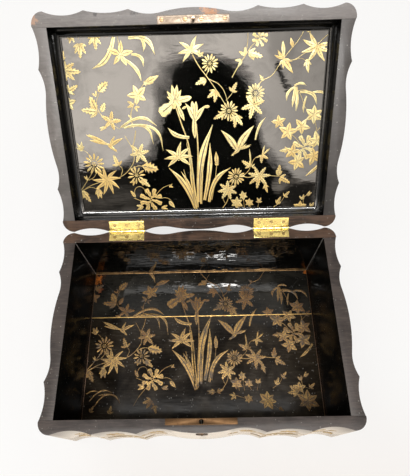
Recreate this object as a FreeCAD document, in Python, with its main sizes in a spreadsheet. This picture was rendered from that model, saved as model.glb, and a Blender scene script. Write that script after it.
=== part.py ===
import FreeCAD, Part
import math
import os
import re
from FreeCAD import Placement, Rotation, Vector
import Sketcher

# A serpentine lacquered box with a hinged lid, in millimetres.
# X runs to the right, Y to the back and Z up. The origin is the middle of the underside.
# Every lid piece is modelled where it lies when the lid is shut, and then turned back
# about the hinge axis by openAngle.

sizes = {
    # the box, inside and out
    "insideWidth": 270.0,
    "insideDepth": 182.0,
    "insideHeight": 85.0,
    "floorThickness": 8.0,
    "floorJoint": 32.0,  # the seam between the two floor boards, behind the middle
    "longWall": 12.6,  # front and back planks, at the crests of the scallops
    "shortWall": 13.6,  # side planks, at the crests
    "flare": 3.4,  # how much further out the foot of each wall stands than its rim
    # the scalloped outline, measured from the corners inwards
    "cornerRadius": 11.5,
    "cornerScallop": 37.5,
    "cornerDip": 3.6,
    "middleScallop": 41.0,
    "middleDip": 2.5,
    "hollowRun": 19.7,  # from the cusp to the lowest point beside the belly
    "bellyDip": 4.1,
    "sideScallop": 35.5,
    "sideDip": 3.0,
    "sideHollowRun": 16.5,
    "sideBellyDip": 3.8,
    # the lid
    "lidRecess": 21.0,
    "panelThickness": 3.0,
    "lidTopThickness": 7.0,
    "lidEdgeRound": 5.0,
    "coveRadius": 5.0,
    "coveLip": 0.6,
    "closedGap": 0.3,  # between the two rims when the lid is shut
    "openAngle": 134.0,
    # the butt hinges
    "hingeLength": 38.0,
    "hingeOffset": 79.0,
    "hingeSetback": 0.5,  # the axis, behind the crests of the back wall
    "leafWidth": 11.3,
    "leafThickness": 1.2,
    "barrelRadius": 2.2,
    "barrelRelief": 0.3,
    "pinRadius": 1.0,
    "pinClearance": 0.05,
    "pinHeadRadius": 1.6,
    "pinHeadLength": 0.7,
    "knuckleGap": 0.2,
    # screws, all countersunk
    "headRadius": 1.9,
    "headDepth": 1.0,
    "shankRadius": 0.9,
    "screwLength": 9.0,
    "plateScrewLength": 6.0,
    "driverSlot": 0.5,
    "driverSlotDepth": 0.35,
    "fitGap": 0.05,
    "hingeScrewPitch": 13.3,
    "hingeScrewInset": 6.75,  # from the hinge axis
    # the lock in the front wall
    "lockWidth": 65.5,
    "lockFlange": 5.75,  # of the plate, left at each end of the case
    "lockPlateThickness": 1.0,
    "backPlateHeight": 28.0,
    "caseWall": 0.7,
    "studPlay": 0.8,  # between the stud and the edge of its hole
    "keyDrop": 15.0,  # the keyhole, below the rim
    "keySweep": 7.4,  # the room under the key's axis for its bit
    "keyholeRadius": 2.0,
    "keySlotWidth": 1.8,
    "keySlotLength": 6.5,
    "keyPostRadius": 1.1,
    "keyPostLength": 7.0,
    "lockScrewInset": 4.0,
    # the bolt, drawn back
    "boltThrow": 6.0,
    "boltThickness": 1.2,
    "boltHeight": 5.0,
    "boltEndGap": 2.0,  # from the back of the bolt to the case
    "noseHeight": 2.2,
    "noseClearance": 0.6,  # from the nose to the stud
    "talonRadius": 2.2,
    "tailLip": 1.9,  # below the talon
    "tailLength": 12.0,
    "guideRadius": 1.2,
    "guideInset": 10.0,
    "slideClearance": 0.3,
    "springThickness": 0.4,
    "springLength": 15.0,
    # the strike on the lid's front rail
    "strikeWidth": 66.0,
    "strikeDepth": 6.7,
    "strikeThickness": 1.2,
    "strikeScrewInset": 4.0,
    "strikeScrewInner": 7.5,
    "studRadius": 1.4,
    "studTip": 1.9,  # below the notch
    "studWaist": 1.6,  # what the notch leaves of the stud
    "studFlangeRadius": 2.6,
    "studFlangeThickness": 0.8,
    # the keyhole escutcheon
    "escutcheonRadius": 5.5,
    "escutcheonRise": 6.0,  # between the centres of its round ends
    "escutcheonThickness": 1.0,
    "escutcheonSeat": 0.5,
    "escutcheonPinRadius": 0.5,
    "escutcheonPinLength": 5.0,
    "escutcheonPinHead": 0.9,
    "cuttingMargin": 4.0,  # how far cutting tools run past what they cut
}

doc = FreeCAD.newDocument("LacquerBox")
sheet = doc.addObject("Spreadsheet::Sheet", "Sizes")
for row, (alias, value) in enumerate(sizes.items(), 1):
    sheet.set(f"A{row}", alias)
    sheet.set(f"B{row}", str(value))
    sheet.setAlias(f"B{row}", alias)
doc.recompute()

# Formulas that several pieces share.
halfWidth = "(insideWidth / 2)"
halfDepth = "(insideDepth / 2)"
outerX = f"({halfWidth} + shortWall)"
outerY = f"({halfDepth} + longWall)"
rimZ = "(floorThickness + insideHeight)"
lidRimZ = f"({rimZ} + closedGap)"
panelZ = f"({lidRimZ} + lidRecess)"
lidTopZ = f"({panelZ} + panelThickness)"
hingeY = f"({outerY} + hingeSetback)"
hingeZ = f"({rimZ} + closedGap / 2)"
knuckle = "(hingeLength / 5)"
caseTopZ = f"({rimZ} - lockPlateThickness)"
caseHalf = "(lockWidth / 2 - lockFlange)"
plateBackY = f"(-{halfDepth} - lockPlateThickness)"
studY = f"({plateBackY} - 2 * slideClearance - studRadius)"
notchY = f"({studY} + studRadius - studWaist)"
boltFrontY = f"({notchY} - slideClearance - boltThickness)"
caseFrontY = f"({boltFrontY} - slideClearance - caseWall)"
keyZ = f"({rimZ} - keyDrop)"
caseBottomZ = f"({keyZ} - keySweep - caseWall)"
boltZ = f"({caseTopZ} - springThickness - slideClearance - boltHeight / 2)"
notchZ = f"({boltZ} - noseHeight / 2 - slideClearance)"
noseX = "(-studRadius - noseClearance)"
noseLength = "(boltThrow - noseClearance + slideClearance)"
shoulderX = f"({noseX} - {noseLength})"
boltRearX = f"(-{caseHalf} + caseWall + boltEndGap)"
guideX = f"({boltRearX} + guideInset)"
faceSlope = f"atan(flare / {rimZ})"
escutcheonZ = f"({keyZ} + (keyholeRadius - keySlotLength) / 2)"
escutcheonY = f"(-{outerY} - flare * ({rimZ} - {escutcheonZ}) / {rimZ})"

pieces = {}  # node name to document object


def formula(text):
    """Puts the sheet's name before every alias in a formula."""
    return re.sub(r"[A-Za-z]\w*", lambda m: "Sizes." + m[0] if m[0] in sizes else m[0], str(text))


def bind(thing, formulas):
    for name, text in formulas.items():
        thing.setExpression(name, formula(text))
    return thing


def add(kind, name):
    return doc.addObject(kind, name)


def at(thing, place, rotation=None):
    if rotation:
        thing.Placement = Placement(Vector(), rotation)
    return bind(thing, {f"Placement.Base.{axis}": text for axis, text in zip("xyz", place)})


def block(name, corner, size):
    thing = bind(add("Part::Box", name), dict(zip(("Length", "Width", "Height"), size)))
    return at(thing, corner)


def turned(direction):
    return Rotation(Vector(0, 0, 1), Vector(*direction))


def rod(name, foot, direction, radius, length):
    thing = bind(add("Part::Cylinder", name), {"Radius": radius, "Height": length})
    return at(thing, foot, turned(direction))


def taper(name, foot, direction, radius1, radius2, length):
    thing = add("Part::Cone", name)
    bind(thing, {"Radius1": radius1, "Radius2": radius2, "Height": length})
    return at(thing, foot, turned(direction))


def fuse(name, things):
    thing = add("Part::MultiFuse", name)
    thing.Shapes = list(things)
    return thing


def cut(name, base, tools):
    thing = add("Part::Cut", name)
    thing.Base = base
    thing.Tool = tools[0] if len(tools) == 1 else fuse(name + "Tools", tools)
    return thing


def common(name, base, tool):
    thing = add("Part::Common", name)
    thing.Base = base
    thing.Tool = tool
    return thing


def group(name, things):
    thing = add("Part::Compound", name)
    thing.Links = list(things)
    return thing


def keep(node, thing):
    """Names a finished piece; its label becomes the name of its file."""
    thing.Label = node
    pieces[node] = thing
    return thing


def keepOnLid(node, thing):
    """A finished lid piece, turned back about the hinge axis."""
    angle = "(openAngle * 1 deg)"
    thing.Placement = Placement(Vector(), Rotation(Vector(1, 0, 0), -sizes["openAngle"]))
    bind(thing, {
        "Placement.Rotation.Angle": f"-{angle}",
        "Placement.Base.y": f"{hingeY} * (1 - cos({angle})) - {hingeZ} * sin({angle})",
        "Placement.Base.z": f"{hingeZ} * (1 - cos({angle})) + {hingeY} * sin({angle})",
    })
    return keep(node, thing)


# The scalloped outline.

def crestAndHollow(run, hollow, dip):
    """The ogee from the middle of a belly, through the hollow beside it, to a cusp.

    Returns its points as (along the face, in from the crests), two arcs of three points:
    a convex arc about the belly, and a hollow one that meets it on a common tangent.
    """
    both = (run ** 2 + dip ** 2) / (2 * dip)
    hollowRadius = (hollow ** 2 + dip ** 2) / (2 * dip)
    bellyRadius = both - hollowRadius
    turn = run * bellyRadius / both

    def depth(along):
        return bellyRadius - math.sqrt(bellyRadius ** 2 - along ** 2)

    belly = ((0, 0), (turn / 2, depth(turn / 2)), (turn, depth(turn)))
    return [belly, ((turn, depth(turn)), (run, dip), (run + hollow, 0))]


def scallop(start, width, dip):
    return ((start, 0), (start + width / 2, dip), (start + width, 0))


def outline(halfX, halfY, level):
    """The closed scalloped outline at one height, from one quarter mirrored."""
    v = {name: getattr(sheet, name) for name in sizes}
    cornerX = halfX - v["cornerRadius"]
    cornerY = halfY - v["cornerRadius"]
    innerCusp = cornerX - v["cornerScallop"] - v["middleScallop"]
    sideCusp = cornerY - v["sideScallop"]
    long = crestAndHollow(innerCusp - v["hollowRun"], v["hollowRun"], v["bellyDip"])
    long.append(scallop(innerCusp, v["middleScallop"], v["middleDip"]))
    long.append(scallop(innerCusp + v["middleScallop"], v["cornerScallop"], v["cornerDip"]))
    short = crestAndHollow(sideCusp - v["sideHollowRun"], v["sideHollowRun"], v["sideBellyDip"])
    short.append(scallop(sideCusp, v["sideScallop"], v["sideDip"]))
    bulge = v["cornerRadius"] * math.sqrt(0.5)
    quarter = [[(s, halfY - n) for s, n in arc] for arc in long]
    quarter.append([(cornerX, halfY), (cornerX + bulge, cornerY + bulge), (halfX, cornerY)])
    quarter += [[(halfX - n, s) for s, n in reversed(arc)] for arc in reversed(short)]
    edges = []
    for signX, signY in ((1, 1), (1, -1), (-1, -1), (-1, 1)):
        for arc in quarter:
            points = [Vector(signX * x, signY * y, level) for x, y in arc]
            edges.append(Part.Arc(*points).toShape())
    return Part.Wire(Part.__sortEdges__(edges))


def value(text):
    """The value that a formula has now."""
    names = {name: getattr(sheet, name) for name in sizes}
    return FreeCAD.Units.Quantity(
        re.sub(r"[A-Za-z]\w*", lambda m: repr(names[m[0]]), text)).Value


def blanks():
    """The box's flared outer form, the lid's straight one and its rounded top board."""
    halfX, halfY = value(outerX), value(outerY)
    rim, lidRim, lidTop = value(rimZ), value(lidRimZ), value(lidTopZ)
    flare = sheet.flare
    foot = outline(halfX + flare, halfY + flare, 0)
    box = add("Part::Feature", "BoxForm")
    box.Shape = Part.makeLoft([foot, outline(halfX, halfY, rim)], True, True)
    rails = add("Part::Feature", "RailForm")
    rails.Shape = Part.Face(outline(halfX, halfY, lidRim)).extrude(Vector(0, 0, lidTop - lidRim))
    board = add("Part::Feature", "TopForm")
    board.Shape = Part.Face(outline(halfX, halfY, lidTop)).extrude(
        Vector(0, 0, sheet.lidTopThickness))
    return box, rails, board


# Screws and the holes that take them.

def screw(name, place, direction, length):
    """A countersunk slotted screw; place is the middle of its head's face."""
    x, y, z = place
    head = taper(name + "Head", place, direction, "headRadius", "shankRadius", "headDepth")
    shank = rod(name + "Shank", place, direction, "shankRadius", length)
    width, depth = "(2 * headRadius)", "(2 * driverSlotDepth)"
    size = [width, "driverSlot", depth]
    corner = [f"{x} - headRadius", f"{y} - driverSlot / 2", f"{z} - driverSlotDepth"]
    if direction[1]:
        size = [width, depth, "driverSlot"]
        corner = [f"{x} - headRadius", f"{y} - driverSlotDepth", f"{z} - driverSlot / 2"]
    slot = block(name + "Slot", corner, size)
    return cut(name, fuse(name + "Solid", [head, shank]), [slot])


def screwHole(name, place, direction, length):
    head = taper(name + "Sink", place, direction, "headRadius + fitGap",
                 "shankRadius + fitGap", "headDepth")
    pilot = rod(name + "Pilot", place, direction, "shankRadius + fitGap", f"{length} + fitGap")
    return fuse(name, [head, pilot])


def screws(name, places, direction, length):
    """Returns the screws and the holes for them."""
    made = [screw(f"{name}{i}", p, direction, length) for i, p in enumerate(places)]
    holes = [screwHole(f"{name}Hole{i}", p, direction, length) for i, p in enumerate(places)]
    return made, holes


# Hinges.

def hinge(side, sign):
    """One butt hinge: two leaves, a headed pin, and the tools that cut its seat."""
    middle = f"({sign} * hingeOffset)"
    start = f"({middle} - hingeLength / 2)"
    axis = (1, 0, 0)

    def leaf(name, plateZ, own, other):
        plate = block(name + "Plate", [start, f"{hingeY} - leafWidth", plateZ],
                      ["hingeLength", "leafWidth", "leafThickness"])
        barrels = [rod(f"{name}Barrel{k}", [f"{start} + {k} * {knuckle} + knuckleGap / 2",
                                            hingeY, hingeZ],
                       axis, "barrelRadius", f"{knuckle} - knuckleGap") for k in own]
        notches = [rod(f"{name}Notch{k}", [f"{start} + {k} * {knuckle} - knuckleGap / 2",
                                           hingeY, hingeZ],
                       axis, "barrelRadius + barrelRelief", f"{knuckle} + knuckleGap")
                   for k in other]
        bore = rod(name + "Bore", [f"{start} - cuttingMargin", hingeY, hingeZ], axis,
                   "pinRadius + pinClearance", "hingeLength + 2 * cuttingMargin")
        notched = cut(name + "Notched", plate, notches)
        return fuse(name + "Blank", [notched] + barrels), bore

    boxLeaf = leaf(side + "BoxLeaf", f"{rimZ} - leafThickness", (0, 2, 4), (1, 3))
    lidLeaf = leaf(side + "LidLeaf", lidRimZ, (1, 3), (0, 2, 4))
    pin = rod(side + "PinShaft", [start, hingeY, hingeZ], axis, "pinRadius", "hingeLength")
    heads = [rod(side + "PinHead" + end, [x, hingeY, hingeZ], axis,
                 "pinHeadRadius", "pinHeadLength")
             for end, x in (("Left", f"{start} - pinHeadLength"),
                            ("Right", f"{start} + hingeLength"))]
    keep(f"{side}_hinge_pin", fuse(side + "Pin", [pin] + heads))
    seats = []
    for name, z in (("Box", f"{rimZ} - leafThickness"), ("Lid", lidRimZ)):
        mortise = block(f"{side}{name}Mortise", [start, f"{hingeY} - leafWidth", z],
                        ["hingeLength", "leafWidth + cuttingMargin", "leafThickness"])
        ends = "(pinHeadLength + barrelRelief)"
        relief = rod(f"{side}{name}Relief", [f"{start} - {ends}", hingeY, hingeZ], axis,
                     "barrelRadius + barrelRelief", f"hingeLength + 2 * {ends}")
        seats.append([mortise, relief])
    places = [[f"{middle} + {k} * hingeScrewPitch", f"{hingeY} - hingeScrewInset"]
              for k in (-1, 0, 1)]
    return boxLeaf, lidLeaf, seats, places


def hinges():
    """Makes both hinges and their screws. Returns the tools for the two back rails."""
    boxTools, lidTools, boxScrews, lidScrews = [], [], [], []
    for side, sign in (("left", -1), ("right", 1)):
        (boxBlank, boxBore), (lidBlank, lidBore), seats, places = hinge(side, sign)
        made, holes = screws(side + "BoxScrew", [p + [rimZ] for p in places], (0, 0, -1),
                             "screwLength")
        boxScrews += made
        boxTools += seats[0] + holes
        keep(f"{side}_hinge_box_leaf", cut(side + "BoxLeaf", boxBlank, [boxBore] + holes))
        made, holes = screws(side + "LidScrew", [p + [lidRimZ] for p in places], (0, 0, 1),
                             "screwLength")
        lidScrews += made
        lidTools += seats[1] + holes
        keepOnLid(f"{side}_hinge_lid_leaf", cut(side + "LidLeaf", lidBlank, [lidBore] + holes))
    keep("hinge_box_screws", group("BoxScrews", boxScrews))
    keepOnLid("hinge_lid_screws", group("LidScrews", lidScrews))
    return boxTools, lidTools


# The lock.

def keyhole(name, startY, length):
    """A round hole with a slot below it, right through a wall."""
    hole = rod(name + "Round", [0, startY, keyZ], (0, 1, 0), "keyholeRadius", length)
    slot = block(name + "Slot", ["-keySlotWidth / 2", startY, f"{keyZ} - keySlotLength"],
                 ["keySlotWidth", length, "keySlotLength"])
    return fuse(name, [hole, slot])


def lock():
    """The lock let into the inside of the front wall. Returns the tools for its pocket."""
    left = "(-lockWidth / 2)"
    selvedgeWidth = f"(-{halfDepth} - {caseFrontY})"
    selvedge = block("Selvedge", [left, caseFrontY, caseTopZ],
                     ["lockWidth", selvedgeWidth, "lockPlateThickness"])
    back = block("BackPlate", [left, plateBackY, f"{rimZ} - backPlateHeight"],
                 ["lockWidth", "lockPlateThickness", "backPlateHeight"])
    studHole = rod("StudHole", [0, studY, f"{caseTopZ} - cuttingMargin"], (0, 0, 1),
                   "studRadius + studPlay", "2 * cuttingMargin")
    studHoleInPlate = common("StudHoleInSelvedge", selvedge, studHole)
    edge = "(lockWidth / 2 - lockFlange / 2)"
    rows = (f"({caseTopZ} - lockScrewInset)",
            f"({rimZ} - backPlateHeight + lockScrewInset)")
    places = [[x, f"(-{halfDepth})", z] for x in (f"(-{edge})", edge) for z in rows]
    made, holes = screws("LockScrew", places, (0, -1, 0), "plateScrewLength")
    keep("lock_screws", group("LockScrews", made))
    keep("lock_plate", cut("LockPlate", fuse("LockPlateBlank", [selvedge, back]),
                           [studHoleInPlate] + holes))

    depth = f"({plateBackY} - {caseFrontY})"
    height = f"({caseTopZ} - {caseBottomZ})"
    case = block("CaseOuter", [f"-{caseHalf}", caseFrontY, caseBottomZ],
                 [f"2 * {caseHalf}", depth, height])
    inside = block("CaseInner", [f"-{caseHalf} + caseWall", f"{caseFrontY} + caseWall",
                                 f"{caseBottomZ} + caseWall"],
                   [f"2 * ({caseHalf} - caseWall)", depth, height])
    keep("lock_case", cut("LockCase", case, [
        inside, keyhole("CaseKeyhole", f"{caseFrontY} - cuttingMargin", "2 * cuttingMargin")]))

    keep("lock_key_post", rod("KeyPost", [0, plateBackY, keyZ], (0, -1, 0),
                              "keyPostRadius", "keyPostLength"))
    keep("bolt_guide_post", rod("GuidePost", [guideX, plateBackY, boltZ], (0, -1, 0),
                                "guideRadius", f"{depth} - caseWall"))
    keep("bolt_spring", block("BoltSpring",
                              [f"-{caseHalf} + caseWall", boltFrontY,
                               f"{caseTopZ} - springThickness"],
                              ["springLength", "boltThickness", "springThickness"]))

    pocket = block("CasePocket", [f"-{caseHalf} - fitGap", f"{caseFrontY} - fitGap",
                                  f"{caseBottomZ} - fitGap"],
                   [f"2 * ({caseHalf} + fitGap)", f"{selvedgeWidth} + fitGap + cuttingMargin",
                    f"{height} + 2 * fitGap"])
    selvedgeSeat = block("SelvedgeSeat", [left, caseFrontY, caseTopZ],
                         ["lockWidth", f"{selvedgeWidth} + cuttingMargin",
                          "lockPlateThickness + cuttingMargin"])
    backSeat = block("BackSeat", [left, plateBackY, f"{rimZ} - backPlateHeight"],
                     ["lockWidth", "lockPlateThickness + cuttingMargin",
                      "backPlateHeight + cuttingMargin"])
    wallKeyhole = keyhole("WallKeyhole", f"-{outerY} - flare - cuttingMargin",
                          "longWall + flare + cuttingMargin")
    return [pocket, selvedgeSeat, backSeat, wallKeyhole] + holes


def bolt():
    """The sliding bolt: a bar with a narrow nose, a guide slot and a tail for the key."""
    front = boltFrontY
    bar = block("BoltBar", [boltRearX, front, f"{boltZ} - boltHeight / 2"],
                [f"{shoulderX} - {boltRearX}", "boltThickness", "boltHeight"])
    nose = block("BoltNose", [shoulderX, front, f"{boltZ} - noseHeight / 2"],
                 [noseLength, "boltThickness", "noseHeight"])
    tailZ = f"({keyZ} - talonRadius - tailLip)"
    tail = block("BoltTail", [f"{shoulderX} - tailLength", front, tailZ],
                 ["tailLength", "boltThickness", f"{boltZ} - boltHeight / 2 - {tailZ}"])
    slotRadius = "(guideRadius + slideClearance / 2)"
    ends = [rod("BoltSlot" + name, [x, f"{front} - cuttingMargin", boltZ], (0, 1, 0),
                slotRadius, "boltThickness + 2 * cuttingMargin")
            for name, x in (("Near", guideX), ("Far", f"{guideX} - boltThrow"))]
    slot = block("BoltSlot", [f"{guideX} - boltThrow", f"{front} - cuttingMargin",
                              f"{boltZ} - {slotRadius}"],
                 ["boltThrow", "boltThickness + 2 * cuttingMargin", f"2 * {slotRadius}"])
    talon = rod("Talon", [shoulderX, f"{front} - cuttingMargin", keyZ], (0, 1, 0),
                "talonRadius", "boltThickness + 2 * cuttingMargin")
    keep("lock_bolt", cut("Bolt", fuse("BoltBlank", [bar, nose, tail]), ends + [slot, talon]))


def strike():
    """The strike plate and its notched stud. Returns the tools for the lid's front rail."""
    plate = block("StrikeBlank", ["-strikeWidth / 2", f"-{halfDepth} - strikeDepth", lidRimZ],
                  ["strikeWidth", "strikeDepth", "strikeThickness"])
    outer = "(strikeWidth / 2 - strikeScrewInset)"
    places = [[x, f"-{halfDepth} - strikeDepth / 2", lidRimZ]
              for x in (f"-{outer}", "-strikeScrewInner", "strikeScrewInner", outer)]
    made, holes = screws("StrikeScrew", places, (0, 0, 1), "screwLength")
    keepOnLid("strike_screws", group("StrikeScrews", made))
    hole = rod("StudSeat", [0, studY, f"{lidRimZ} - cuttingMargin"], (0, 0, 1),
               "studRadius + fitGap", "2 * cuttingMargin")
    keepOnLid("strike_plate", cut("StrikePlate", plate, [hole] + holes))

    flangeZ = f"({lidRimZ} + strikeThickness)"
    tipZ = f"({notchZ} - studTip)"
    shank = rod("StudShank", [0, studY, tipZ], (0, 0, 1), "studRadius", f"{flangeZ} - {tipZ}")
    flange = rod("StudFlange", [0, studY, flangeZ], (0, 0, 1),
                 "studFlangeRadius", "studFlangeThickness")
    notch = block("StudNotch", ["-studRadius", f"{notchY} - cuttingMargin", notchZ],
                  ["2 * studRadius", "cuttingMargin", "noseHeight + 2 * slideClearance"])
    keepOnLid("strike_stud", cut("StrikeStud", fuse("StudBlank", [shank, flange]), [notch]))

    seat = block("StrikeSeat", ["-strikeWidth / 2", f"-{halfDepth} - strikeDepth",
                                f"{lidRimZ} - cuttingMargin"],
                 ["strikeWidth", "strikeDepth + cuttingMargin", "strikeThickness + cuttingMargin"])
    flangeSeat = rod("FlangeSeat", [0, studY, flangeZ], (0, 0, 1),
                     "studFlangeRadius + fitGap", "studFlangeThickness + fitGap")
    return [seat, flangeSeat] + holes


# The escutcheon, a padded sketch that lies on the sloping front of the front wall.

def escutcheonSketch(body, name, growth):
    """A slot shape with round ends above and below the origin."""
    sketch = body.newObject("Sketcher::SketchObject", name)
    plane = [f for f in body.Origin.OriginFeatures if f.Role == "XY_Plane"][0]
    sketch.AttachmentSupport = (plane, "")
    sketch.MapMode = "FlatFace"
    r = sizes["escutcheonRadius"]
    rise = sizes["escutcheonRise"] / 2
    normal = Vector(0, 0, 1)
    top = Part.ArcOfCircle(Part.Circle(Vector(0, rise, 0), normal, r), 0, math.pi)
    foot = Part.ArcOfCircle(Part.Circle(Vector(0, -rise, 0), normal, r), math.pi, 2 * math.pi)
    left = Part.LineSegment(Vector(-r, rise, 0), Vector(-r, -rise, 0))
    right = Part.LineSegment(Vector(r, -rise, 0), Vector(r, rise, 0))
    sketch.addGeometry([top, left, foot, right], False)
    tie = Sketcher.Constraint
    sketch.addConstraint([
        tie("Tangent", 0, 2, 1, 1),
        tie("Tangent", 1, 2, 2, 1),
        tie("Tangent", 2, 2, 3, 1),
        tie("Tangent", 3, 2, 0, 1),
        tie("PointOnObject", 0, 3, -2),
        tie("Equal", 0, 2),
        tie("Symmetric", 0, 3, 2, 3, -1, 1),
        tie("DistanceY", 2, 3, 0, 3, 2 * rise),
        tie("Radius", 0, r),
    ])
    bind(sketch, {"Constraints[7]": "escutcheonRise",
                  "Constraints[8]": f"escutcheonRadius + {growth}"})
    return sketch


def escutcheonBody(name, growth, thickness):
    body = add("PartDesign::Body", name)
    pad = body.newObject("PartDesign::Pad", name + "Pad")
    pad.Profile = escutcheonSketch(body, name + "Outline", growth)
    bind(pad, {"Length": thickness})
    return body


def laidOnFace(thing, inset):
    """Lays a thing on the front wall at the keyhole, sunk by inset."""
    rotation = Rotation(Vector(1, 0, 0), 90)
    thing.Placement = Placement(Vector(), rotation)
    bind(thing, {
        "Placement.Rotation.Angle": f"90 deg - {faceSlope}",
        "Placement.Base.y": f"{escutcheonY} + {inset} * cos({faceSlope})",
        "Placement.Base.z": f"{escutcheonZ} - {inset} * sin({faceSlope})",
    })
    return thing


def escutcheon():
    """The keyhole plate and its two pins. Returns the tools for its seat."""
    plate = laidOnFace(escutcheonBody("EscutcheonBlank", 0, "escutcheonThickness"),
                       "escutcheonSeat")
    seat = laidOnFace(escutcheonBody("EscutcheonSeat", "fitGap", "cuttingMargin"),
                      "escutcheonSeat")
    reach = "(escutcheonRise / 2 + escutcheonRadius - 2 * escutcheonPinHead)"
    pins, holes = [], []
    for name, y in (("Upper", reach), ("Lower", f"(-{reach})")):
        shank = rod(f"{name}PinShank", [0, y, "-escutcheonPinLength"], (0, 0, 1),
                    "escutcheonPinRadius", "escutcheonPinLength + escutcheonThickness")
        head = taper(f"{name}PinHead", [0, y, "escutcheonThickness"], (0, 0, 1),
                     "escutcheonPinHead", "escutcheonPinRadius", "escutcheonPinRadius")
        pins.append(laidOnFace(fuse(f"{name}Pin", [shank, head]), "escutcheonSeat"))
        hole = rod(f"{name}PinHole", [0, y, "-escutcheonPinLength - fitGap"], (0, 0, 1),
                   "escutcheonPinRadius + fitGap",
                   "escutcheonPinLength + escutcheonThickness + 2 * fitGap")
        holes.append(laidOnFace(group(f"{name}Hole", [hole]), "escutcheonSeat"))
    keep("escutcheon_pins", group("EscutcheonPins", pins))
    through = keyhole("EscutcheonKeyhole", f"-{outerY} - flare - cuttingMargin",
                      "flare + 2 * cuttingMargin")
    keep("keyhole_escutcheon", cut("Escutcheon", plate, [through] + holes))
    return [seat] + holes


# The wooden pieces.

def box(form, frontTools, backTools):
    margin = "cuttingMargin"
    spanX = f"(2 * ({outerX} + flare + {margin}))"
    wallY = f"(longWall + flare + {margin})"
    low = f"(-{outerX} - flare - {margin})"
    front = block("FrontSlab", [low, f"-{outerY} - flare - {margin}", 0], [spanX, wallY, rimZ])
    back = block("BackSlab", [low, halfDepth, 0], [spanX, wallY, rimZ])
    keep("front_wall", cut("FrontWall", common("FrontPlank", form, front), frontTools))
    keep("back_wall", cut("BackWall", common("BackPlank", form, back), backTools))
    for name, x in (("left", low), ("right", halfWidth)):
        slab = block(name + "Slab", [x, f"-{halfDepth}", 0],
                     [f"shortWall + flare + {margin}", "insideDepth", rimZ])
        keep(f"{name}_wall", common(name + "Plank", form, slab))
    keep("floor_board_front", block("FloorFront", [f"-{halfWidth}", f"-{halfDepth}", 0],
                                    ["insideWidth", f"{halfDepth} + floorJoint",
                                     "floorThickness"]))
    keep("floor_board_back", block("FloorBack", [f"-{halfWidth}", "floorJoint", 0],
                                   ["insideWidth", f"{halfDepth} - floorJoint",
                                    "floorThickness"]))


def lid(railForm, topForm, frontTools, backTools):
    margin = "cuttingMargin"
    height = f"({lidTopZ} - {lidRimZ})"
    spanX = f"(2 * ({outerX} + {margin}))"
    low = f"(-{outerX} - {margin})"
    wallY = f"(longWall + {margin})"
    front = block("LidFrontSlab", [low, f"-{outerY} - {margin}", lidRimZ], [spanX, wallY, height])
    back = block("LidBackSlab", [low, halfDepth, lidRimZ], [spanX, wallY, height])
    keepOnLid("lid_front_rail", cut("LidFront", common("LidFrontRail", railForm, front),
                                    frontTools))
    keepOnLid("lid_back_rail", cut("LidBack", common("LidBackRail", railForm, back), backTools))
    for name, x in (("left", low), ("right", halfWidth)):
        slab = block(name + "LidSlab", [x, f"-{halfDepth}", lidRimZ],
                     [f"shortWall + {margin}", "insideDepth", height])
        keepOnLid(f"lid_{name}_rail", common(name + "LidRail", railForm, slab))
    board = block("PanelBoard", [f"-{halfWidth}", f"-{halfDepth}", panelZ],
                  ["insideWidth", "insideDepth", "panelThickness"])
    keepOnLid("lid_panel", group("LidPanel", [board]))
    top = add("Part::Fillet", "LidTop")
    top.Base = topForm
    crown = topForm.Shape.BoundBox.ZMax
    round = sheet.lidEdgeRound
    top.Edges = [(i, round, round) for i, edge in enumerate(topForm.Shape.Edges, 1)
                 if edge.BoundBox.ZMin > crown - sheet.lidTopThickness / 2]
    keepOnLid("lid_top_board", top)

    # The cove: a frame with a quarter-round hollow between the rails and the panel.
    size = "(coveRadius + coveLip)"
    ring = block("CoveBlank", [f"-{halfWidth}", f"-{halfDepth}", f"{panelZ} - {size}"],
                 ["insideWidth", "insideDepth", size])
    hollow = block("CoveHollow", [f"-{halfWidth} + coveLip", f"-{halfDepth} + coveLip",
                                  f"{panelZ} - {size} - cuttingMargin"],
                   ["insideWidth - 2 * coveLip", "insideDepth - 2 * coveLip",
                    f"{size} + cuttingMargin - coveLip"])
    window = block("CoveWindow", [f"-{halfWidth} + {size}", f"-{halfDepth} + {size}",
                                  f"{panelZ} - {size} - cuttingMargin"],
                   [f"insideWidth - 2 * {size}", f"insideDepth - 2 * {size}",
                    f"{size} + 2 * cuttingMargin"])
    doc.recompute()
    rounded = add("Part::Fillet", "CoveRound")
    rounded.Base = hollow
    ceiling = hollow.Shape.BoundBox.ZMax
    radius = sheet.coveRadius
    rounded.Edges = [(i, radius, radius) for i, edge in enumerate(hollow.Shape.Edges, 1)
                     if edge.BoundBox.ZMin > ceiling - radius / 2]
    keepOnLid("lid_cove_moulding", cut("Cove", ring, [rounded, window]))


def write():
    """Checks every object and piece, and writes one file a node."""
    for thing in doc.Objects:
        if "Invalid" in thing.State or "Error" in thing.State:
            raise RuntimeError(f"{thing.Name} failed: {thing.State}")
    os.makedirs("parts", exist_ok=True)
    for node, thing in pieces.items():
        shape = thing.Shape
        if shape.isNull() or not shape.isValid() or shape.Volume <= 0:
            raise RuntimeError(f"{node} has no valid shape")
        shape.exportStep(f"parts/{node}.step")
        print(f"{node:22s} {len(shape.Solids):2d} solids {shape.Volume / 1000:9.3f} cm3")


boxForm, railForm, topForm = blanks()
boxHingeTools, lidHingeTools = hinges()
lockTools = lock()
bolt()
box(boxForm, lockTools + escutcheon(), boxHingeTools)
lid(railForm, topForm, strike(), lidHingeTools)
doc.recompute()
write()
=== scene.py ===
import math
import random
import bpy
from mathutils import Matrix, Vector
from mathutils.bvhtree import BVHTree


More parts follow.
